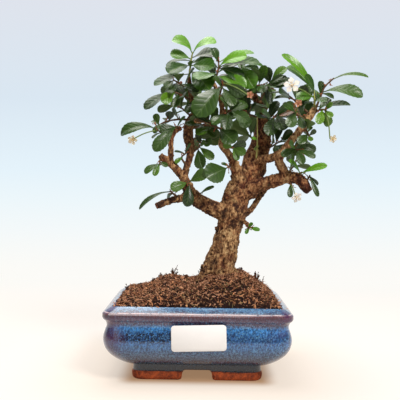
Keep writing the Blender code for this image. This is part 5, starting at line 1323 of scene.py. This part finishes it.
def mottledMaterial(name, tones, roughness, coarseScale=260.0, contrast=2.0):
    finish, tree, shader, spot = startMaterial(name, roughness)
    tone = useGroup(tree, mottle, {"Spot": spot, "Coarse": coarseScale, "Fine": coarseScale * 5,
                                   "Contrast": contrast,
                                   "Dark": tones[0], "Light": tones[1]})
    tree.links.new(tone["Colour"], shader.inputs["Base Color"])
    bumpOn(tree, shader, tone["Height"], 0.0004, 0.5)
    return finish


def fineLeaf(root, tip, ratio, roll, droop, draw, freshness, grow=1.0):
    length, ahead, side, spine = spineOf(root, tip, roll, droop)
    half = max(length * ratio / 2, 1.6)
    tone, wave, wavePhase = draw.random(), draw.uniform(0.02, 0.07), draw.uniform(0, 6.28)
    curl = draw.uniform(-0.08, 0.22)
    cells = leaf["across"]
    shares = [-1 + k / cells for k in range(2 * cells + 1)]
    points, place, looks, faces = [], [], [], []

    def row(share, reach, under):
        middle, normal = spine(share)
        start = len(points)
        body = 0.0 if reach <= leaf["petiole"] + 0.01 else 1.0
        for t in shares[1:-1] if under else shares:
            out = abs(t)
            lift = math.sin(leaf["fold"]) * out * (1.0 - 0.45 * out * out * (0.5 + curl * 3)) * body
            lift += wave * math.sin(9.0 * share + wavePhase + (1.3 if t > 0 else 0)) * out * out * body
            thick = 0.0
            if under:
                keel = 0.42 * (1 - 0.6 * share) if out < 0.01 else 0.0
                thick = leaf["thickness"] * (1 - 0.25 * out) + keel
                thick = thick if body else 0.7 * math.sqrt(1 - out * out)
            across = t * reach * math.cos(leaf["fold"] * body)
            points.append(middle + side * across + normal * (lift * reach - thick))
            place.append((t, share, 0.0))
            looks.append((tone, freshness, 1.0 if under else 0.0))
        return start

    rows = []
    for share, width, tooth in leaf["edge"]:
        reach = leaf["petiole"] + (half * grow - leaf["petiole"]) * width
        if width:
            reach *= 1 + 0.035 * tooth
        step = 0.012 * tooth
        rows.append((row(share + max(step, 0), reach, False), row(share + max(step, 0), reach, True)))
    last = len(points)
    points.append(spine(1.0)[0])
    place.append((0.0, 1.0, 0.0))
    looks.append((tone, freshness, 0.0))
    wide = len(shares)

    def under(start, k):  # the underside shares the leaf's edge points with the upper side
        top, below = start
        return top if k == 0 else top + wide - 1 if k == wide - 1 else below + k - 1

    for (topA, belowA), (topB, belowB) in zip(rows, rows[1:]):
        for k in range(wide - 1):
            faces.append((topA + k, topA + k + 1, topB + k + 1, topB + k))
            a, b = (topA, belowA), (topB, belowB)
            faces.append((under(a, k + 1), under(a, k), under(b, k), under(b, k + 1)))
    topZ = rows[-1]
    for k in range(wide - 1):
        faces.append((topZ[0] + k, topZ[0] + k + 1, last))
        faces.append((under(topZ, k + 1), under(topZ, k), last))
    topA = rows[0]
    for k in range(1, wide - 1):
        faces.append((topA[0] + k, topA[0] + k - 1, under(topA, k - 1), under(topA, k)) if k > 1 else
                     (topA[0] + 1, topA[0], under(topA, 1)))
    faces.append((topA[0] + wide - 1, topA[0] + wide - 2, under(topA, wide - 2)))
    return [tuple(p) for p in points], faces, place, looks


def fineTwig(path, draw, thin=1.0):
    middle = curvePoints([Vector(p) for p in path], 1.1)
    radii = []
    for i in range(len(middle)):
        share = i / (len(middle) - 1)
        swell = 0.16 if i % 4 == 2 else 0.0
        size = twig["radius"] * 1.05 + (twig["tipRadius"] * 0.72 - twig["radius"]) * share
        radii.append(size * thin * (1 + swell + draw.uniform(-0.06, 0.06)))
    return middle, tube(middle, radii, 9)


def twiglets(middle, draw):  # short bare side twigs with dry bud scales
    shapes = []
    for _ in range(twig["twiglets"]):
        start = draw.choice(middle[len(middle) // 3:])
        lean = Vector((draw.gauss(0, 1), draw.gauss(0, 1), draw.gauss(0.2, 0.8))).normalized()
        reach = draw.uniform(*twig["twigletReach"])
        bend = Vector((draw.gauss(0, 1), draw.gauss(0, 1), draw.gauss(0, 1))) * 0.12 * reach
        path = [start, start + lean * reach * 0.5 + bend, start + lean * reach]
        shapes.append(tube(path, [0.42, 0.32, 0.22], 6))
        for _ in range(3):
            shapes.append(crumbShape(path[draw.choice((1, 2))] + bend * draw.uniform(-0.5, 0.5),
                                     draw.uniform(0.4, 0.8), draw))
    return shapes


def petalShape(spot, middle, reach, cup, order):  # one petal, with its upper side and its underside
    rowsOf, columns = bloom["petalRows"], bloom["petalColumns"]
    points, place = [], []
    for under in (0, 1):
        for i in range(rowsOf + 1):
            share = i / rowsOf
            swell = math.sin(math.pi * min(1.0, share * 0.82 + 0.06))
            width = 0.24 + 0.30 * swell if share < 1 else 0.12
            for k in range(columns + 1):
                t = -1 + 2 * k / columns
                radius = 0.55 + (reach - 0.55) * (share * (1 - 0.10 * t * t * share))
                height = -0.5 + 0.6 * math.sin(share * 1.7) - 0.9 * share ** 2
                height += cup * share ** 3 * (0.4 + 0.6 * t * t)
                height += 0.18 * math.sin(5 * t + order * 2) * share - 0.16 * under
                points.append(tuple(spot(radius, middle + t * width, height)))
                place.append((t, share, float(under)))
    wide = columns + 1
    size = wide * (rowsOf + 1)
    faces = []
    for i in range(rowsOf):
        for k in range(columns):
            a = i * wide + k
            faces.append((a, a + 1, a + wide + 1, a + wide)[::-1])
            faces.append((size + a, size + a + 1, size + a + wide + 1, size + a + wide))
    border = list(range(wide)) + [i * wide + columns for i in range(1, rowsOf + 1)]
    border += [rowsOf * wide + k for k in range(columns - 1, -1, -1)]
    border += [i * wide for i in range(rowsOf - 1, 0, -1)]
    for a, b in zip(border, border[1:] + border[:1]):
        faces.append((a, b, size + b, size + a))
    return points, faces, place


def makeFlower(name, centre, facing, diameter, tone, turn):
    side = facing.orthogonal().normalized()
    other = facing.cross(side)
    draw = random.Random(name + " petals")
    flower = Gather("leafPlace")
    wilt = bloom["wilt"][tone]

    def spot(radius, angle, height):
        away = side * math.cos(angle + turn) + other * math.sin(angle + turn)
        return centre + away * radius + facing * height

    for petal in range(5):
        middle = 2 * math.pi * petal / 5 + draw.uniform(-0.08, 0.08)
        reach = diameter / 2 * draw.uniform(0.92, 1.0) * (1 - 0.12 * wilt)
        cup = draw.uniform(0.0, 0.9) + 1.6 * wilt
        points, faces, place = petalShape(spot, middle, reach, cup, petal)
        flower.add(points, faces, 0, leafPlace=place)
    throat = [centre - facing * bloom["depth"], centre - facing * 1.1, centre - facing * 0.3]
    flower.add(*tube(throat, [0.8, 0.9, 1.15], 14), 0, leafPlace=(0.0, 0.0, 0.0))
    for stamen in range(5):
        angle = 2 * math.pi * (stamen + 0.5) / 5
        tip = spot(1.35 + 0.3 * wilt, angle + draw.uniform(-0.2, 0.2), 1.7)
        middle = [spot(0.35, angle, -0.5), spot(0.7, angle, 0.8), tip]
        flower.add(*tube(middle, [0.14, 0.11, 0.09], 5), 0, leafPlace=(0.0, 0.3, 0.0))
        flower.add(*crumbShape(tip, 0.36, draw), 1, leafPlace=(0.0, 0.0, 0.0))
    style = [spot(0, 0, -0.5), spot(0.1, 0, 1.2), spot(0.2, 1, 2.3)]
    flower.add(*tube(style, [0.16, 0.12, 0.16], 5), 0, leafPlace=(0.0, 0.2, 0.0))
    flower.piece(name + "Petals", [petalFinish[tone], antherFinish], tone, [name], sharp=60)


def petalMaterial(name, tones):
    finish, tree, shader, spot = startMaterial(name, 0.55,
                                               **{"Subsurface Weight": 0.15,
                                                  "Subsurface Radius": (0.002, 0.0015, 0.001)})
    place = look(tree, "leafPlace")
    colour = mixed(tree, between(tree, place["Y"], 0.0, 0.55), tones[1], tones[0])
    blotch = useGroup(tree, mottle, {"Spot": spot, "Coarse": 300.0, "Fine": 1500.0, "Contrast": 1.2,
                                     "Dark": (0.82, 0.80, 0.76, 1), "Light": (1.04, 1.04, 1.04, 1)})
    tree.links.new(mixed(tree, 1.0, colour, blotch["Colour"], "MULTIPLY"), shader.inputs["Base Color"])
    lines = calc(tree, "SINE", times(tree, place["X"], 22.0))
    bumpOn(tree, shader, plus(tree, lines, blotch["Height"]), 0.00015, 0.6)
    return finish


leafFinish = {tone: leafMaterial(tone + "Leaf", leaf[tone]) for tone in ("green", "new")}
stemFinish = {
    "twig": mottledMaterial("twigBark", twig["bark"], 0.8, 330.0),
    "young": mottledMaterial("youngBark", twig["youngBark"], 0.6, 300.0),
    "cup": mottledMaterial("flowerCup", bloom["cupTones"], 0.6, 400.0),
    "scale": mottledMaterial("dryScale", twig["scale"], 0.8, 500.0),
    "redBud": mottledMaterial("redBud", twig["bud"], 0.6, 500.0),
}
sprayFinishes = ["leaf"] + list(stemFinish)  # the order of the materials on a spray
stemLook = {"leafPlace": (0.0, 0.0, 0.0), "leafLook": (0.5, 0.0, 0.0)}
petalFinish = {tone: petalMaterial(tone + "Petal", tones) for tone, tones in bloom["petal"].items()}
antherFinish = mottledMaterial("anther", (bloom["anther"], paint(214, 170, 90)), 0.7, 900.0)


def makeCrown():
    barks = [limbShape(name, 8.0) for name in limbs]
    crown = Crown()
    for shape in barks:
        crown.add(shape, "wood")
    wholeBark = Gather()
    for shape in barks:
        wholeBark.add(*shape)
    bark = BVHTree.FromPolygons(wholeBark.points, wholeBark.faces)
    middles, sprays, grown = {}, {}, {}
    # twigs first, so that every leaf can be turned clear of them
    for name, (_, path, _, _, _) in shoots.items():
        middles[name], plain = twigShape(path, bark)
        crown.add(plain, name)
        spray = sprays[name] = Gather("leafPlace", "leafLook")
        draw = random.Random(name + " twig")
        isYoung = name in twig["young"]
        middle, shape = fineTwig(path, draw, twig["young"].get(name, 1.0))
        spray.add(*shape, sprayFinishes.index("young" if isYoung else "twig"), **stemLook)
        if name == "young_shoot":
            for share, count, kind in twig["shootBuds"]:
                for _ in range(count):
                    at = middle[int(share * (len(middle) - 1))] + Vector((
                        draw.uniform(-2, 2), draw.uniform(-1, 0.5), draw.uniform(0, 1.6)))
                    spray.add(*crumbShape(at, draw.uniform(0.6, 1.1), draw), sprayFinishes.index(kind),
                              **stemLook)
        elif not isYoung:
            for shape in twiglets(middle, draw):
                spray.add(*shape, sprayFinishes.index("scale"), **stemLook)
        grown[name] = []
    # flowers, each with a stalk and five sepals that belong to its shoot
    cup = sprayFinishes.index("cup")
    for name, (shoot, share, centre, facing, diameter, tone) in blooms.items():
        root, _ = along(middles[shoot], rootShare(middles[shoot], share, 0))
        centre, facing = Vector(centre), Vector(facing).normalized()
        crown.add(stalkShape(root, centre, facing), shoot)
        sprays[shoot].add(*stalkShape(root, centre, facing, 9, 1.2), cup, **stemLook)
        back = centre - facing * (bloom["depth"] + 0.2)
        for sepal in range(5):
            lean = Quaternion(facing, 2 * math.pi * sepal / 5) @ facing.orthogonal().normalized()
            path = [back + facing * forward + lean * reach for forward, reach in bloom["sepal"]]
            sprays[shoot].add(*tube(path, [0.5, 0.42, 0.1], 5), cup, **stemLook)
        plain, turn = plainBloom(centre, facing, diameter, random.Random(name))
        crown.add(plain, name)
        makeFlower(name, centre, facing, diameter, tone, turn)
    # the leaves chosen one by one, then those that fill each shoot by rule
    for name, (_, _, chosen, _, _) in shoots.items():
        draw = random.Random(name + " chosen")
        fresh = leaf["freshness"].get(name, ())
        for order, given in enumerate(chosen):
            found = chosenLeaf(crown, name, middles[name], order, given, draw)
            if found:
                crown.add(plainBlade(*found), name, True)
                freshness = fresh[order] if order < len(fresh) else leaf["usualFreshness"]
                grown[name].append((found, freshness))
    for name, (_, _, _, more, size) in shoots.items():
        draw = random.Random(name + " more")
        for order in range(more):
            found = ruleLeaf(crown, name, middles[name], order, more, size, draw)
            if found:
                crown.add(plainBlade(*found), name, True)
                grown[name].append((found, None))
    for name, (tone, _, _, _, _) in shoots.items():
        draw = random.Random(name + " fine")
        for found, freshness in grown[name]:
            if freshness is None:
                isDry = draw.random() < leaf["dryShare"]
                freshness = leaf["dryness"] if isDry else max(0.0, draw.gauss(0.08, 0.12))
            points, faces, place, looks = fineLeaf(*found, draw, freshness)
            sprays[name].add(points, faces, 0, leafPlace=place, leafLook=looks)
        finishes = [leafFinish[tone]] + [stemFinish[kind] for kind in sprayFinishes[1:]]
        sprays[name].piece(name + "Spray", finishes, tone, [name], sharp=60)


makeCrown()
print("leaves and flowers grown")

# The label, left blank

card = {"size": (42.6, 20.2), "thickness": 0.35, "corner": 2.6, "cornerSteps": 10, "centre": (1.0, 38.0),
        "tilt": math.radians(1.9), "colour": (paint(250, 246, 247), paint(255, 253, 253))}


def makeLabel():
    width, height = card["size"]
    loops = []
    back = -glaze["depth"] / 2 - 0.05
    for inset, y in ((0.05, back), (0.0, back - 0.1), (0.0, back - card["thickness"] + 0.08),
                     (0.1, back - card["thickness"])):
        loop = []
        for quarter, (sx, sz) in enumerate(((1, 1), (-1, 1), (-1, -1), (1, -1))):
            for step in range(card["cornerSteps"] + 1):
                angle = math.pi / 2 * (quarter + step / card["cornerSteps"])
                x = sx * (width / 2 - card["corner"]) + (card["corner"] - inset) * math.cos(angle)
                z = sz * (height / 2 - card["corner"]) + (card["corner"] - inset) * math.sin(angle)
                turned = Matrix.Rotation(card["tilt"], 2) @ Vector((x, z))
                loop.append((card["centre"][0] + turned.x, y, card["centre"][1] + turned.y))
        loops.append(loop)
    paper = mottledMaterial("coatedPaper", card["colour"], 0.42, 90.0, 1.0)
    addPiece("blankLabel", *skin(loops), [paper], "label", ["label"], sharp=40)


makeLabel()
print("label stuck on")

# Floor, light and camera

stage = {
    "floor": paint(255, 249, 244), "floorDiffuse": 0.35, "glow": 0.6, "glowOnPlant": 0.34,
    "plantTint": (1.0, 0.96, 0.84, 1.0),
    # painted shadow on the floor under the pot and painted warm reflection round it, and how far they
    # reach in metres
    "shade": (paint(190, 152, 118), 0.017), "paintedReflection": (paint(254, 240, 226), 0.12),
    "shadeHalf": (0.05, 0.042),
    # how far up the backdrop, in metres, and its colour there
    "wall": [(0.0, paint(252, 251, 247)), (0.06, paint(244, 249, 250)), (0.12, paint(237, 247, 251)),
             (0.19, paint(229, 243, 251)), (0.37, paint(218, 231, 242)), (0.64, paint(223, 227, 236))],
    "sky": (1.0, 0.98, 0.92, 1.0), "skyStrength": 0.16, "skySeen": 0.6,
    # where each lamp stands, its watts and its width, in metres
    "lamps": {"key": ((0.45, -0.75, 0.95), 12.5, 0.35), "top": ((-0.2, 0.2, 1.2), 14.0, 0.9),
              "fill": ((-0.8, -1.1, 0.5), 2.0, 0.9)}, "lampTone": (1.0, 0.97, 0.92),
    # the backdrop, in millimetres
    "floorRun": (-1500.0, -600.0, 0.0, 300.0), "wallFoot": 520.0, "bend": 500.0, "wallTop": 1500.0,
    "halfWidth": 2200.0,
    "camera": (0.2, -535.0, 154.0), "lens": 55.8, "lookUp": -0.020, "roll": 0.016,
}


def backdropMaterial():
    finish, tree, shader, spot = startMaterial("paleFloor", 0.95,
                                               **{"Specular IOR Level": 0.0, "Emission Strength": 1.0})
    place = put(tree, "SeparateXYZ", {0: spot}).outputs
    wallShare = between(tree, place["Y"], 0.15, 0.5)
    wall = ramp(tree, place["Z"], stage["wall"])
    black = (0.0, 0.0, 0.0, 1.0)

    def beyond(axis, middle, half):  # how far outside the pot's foot a point is, along one axis
        return calc(tree, "MAXIMUM", 0.0, minus(tree, offBy(tree, place[axis], middle), half))

    outX = beyond("X", potFoot.x, stage["shadeHalf"][0])
    outY = beyond("Y", potFoot.y, stage["shadeHalf"][1])
    away = calc(tree, "POWER",
                plus(tree, calc(tree, "POWER", outX, 2.0), calc(tree, "POWER", outY, 2.0)), 0.5)
    # painted warm reflection round the pot and painted shadow under it, in the floor's colour and in its
    # glow
    ground = stage["floor"]
    for tone, reach in (stage["paintedReflection"], stage["shade"]):
        ground = mixed(tree, between(tree, away, 0.0, reach), tone, ground)
    diffuse = mixed(tree, stage["floorDiffuse"], black, ground)
    tree.links.new(mixed(tree, wallShare, diffuse, black), shader.inputs["Base Color"])
    glow = mixed(tree, wallShare, mixed(tree, stage["glow"], black, ground), wall)
    onPlant = mixed(tree, stage["glowOnPlant"], black,
                    mixed(tree, 1.0, glow, stage["plantTint"], "MULTIPLY"))
    lighting = tree.nodes.new("ShaderNodeLightPath").outputs["Is Diffuse Ray"]
    tree.links.new(mixed(tree, lighting, glow, onPlant), shader.inputs["Emission Color"])
    return finish


def makeStage():
    # the floor from the front to the foot of the wall, the curve between them, and the wall's top
    bend, foot = stage["bend"], stage["wallFoot"]
    profile = [(y, 0.0) for y in stage["floorRun"]]
    profile += [(foot + bend * math.sin(a), bend - bend * math.cos(a))
                for a in np.linspace(0, math.pi / 2, 20)]
    profile += [(foot + bend, stage["wallTop"])]
    points, faces = [], []
    for x in (-stage["halfWidth"], stage["halfWidth"]):
        points += [(x, y, z) for y, z in profile]
    for i in range(len(profile) - 1):
        faces.append((i + 1, i, len(profile) + i, len(profile) + i + 1))
    mesh = bpy.data.meshes.new("backdrop")
    mesh.from_pydata([tuple(Vector(p) / 1000) for p in points], [], faces)
    mesh.materials.append(backdropMaterial())
    mesh.shade_smooth()
    backdrop = bpy.data.objects.new("backdrop", mesh)
    bpy.context.scene.collection.objects.link(backdrop)
    world = bpy.data.worlds.new("studio")
    world.use_nodes = True
    world.node_tree.nodes["Background"].inputs["Color"].default_value = stage["sky"]
    seen = world.node_tree.nodes.new("ShaderNodeLightPath").outputs["Is Camera Ray"]
    strength = plus(world.node_tree, times(world.node_tree, seen, stage["skySeen"]), stage["skyStrength"])
    world.node_tree.links.new(strength, world.node_tree.nodes["Background"].inputs["Strength"])
    bpy.context.scene.world = world
    for name, (place, power, size) in stage["lamps"].items():
        lamp = bpy.data.lights.new(name, "AREA")
        lamp.energy, lamp.size, lamp.color = power, size, stage["lampTone"]
        light = bpy.data.objects.new(name, lamp)
        light.location = place
        light.rotation_euler = (Vector((0, 0, 0.15)) - light.location).to_track_quat("-Z", "Y").to_euler()
        bpy.context.scene.collection.objects.link(light)
    eye = bpy.data.cameras.new("camera")
    eye.lens, eye.sensor_width = stage["lens"], 36.0
    camera = bpy.data.objects.new("camera", eye)
    turn = Matrix.Rotation(math.pi / 2 + stage["lookUp"], 4, "X") @ Matrix.Rotation(stage["roll"], 4, "Z")
    camera.matrix_world = Matrix.Translation(Vector(stage["camera"]) / 1000 + potFoot) @ turn
    bpy.context.scene.collection.objects.link(camera)
    bpy.context.scene.camera = camera
    bpy.context.scene.view_settings.view_transform = "Standard"


makeStage()
print("stage lit")
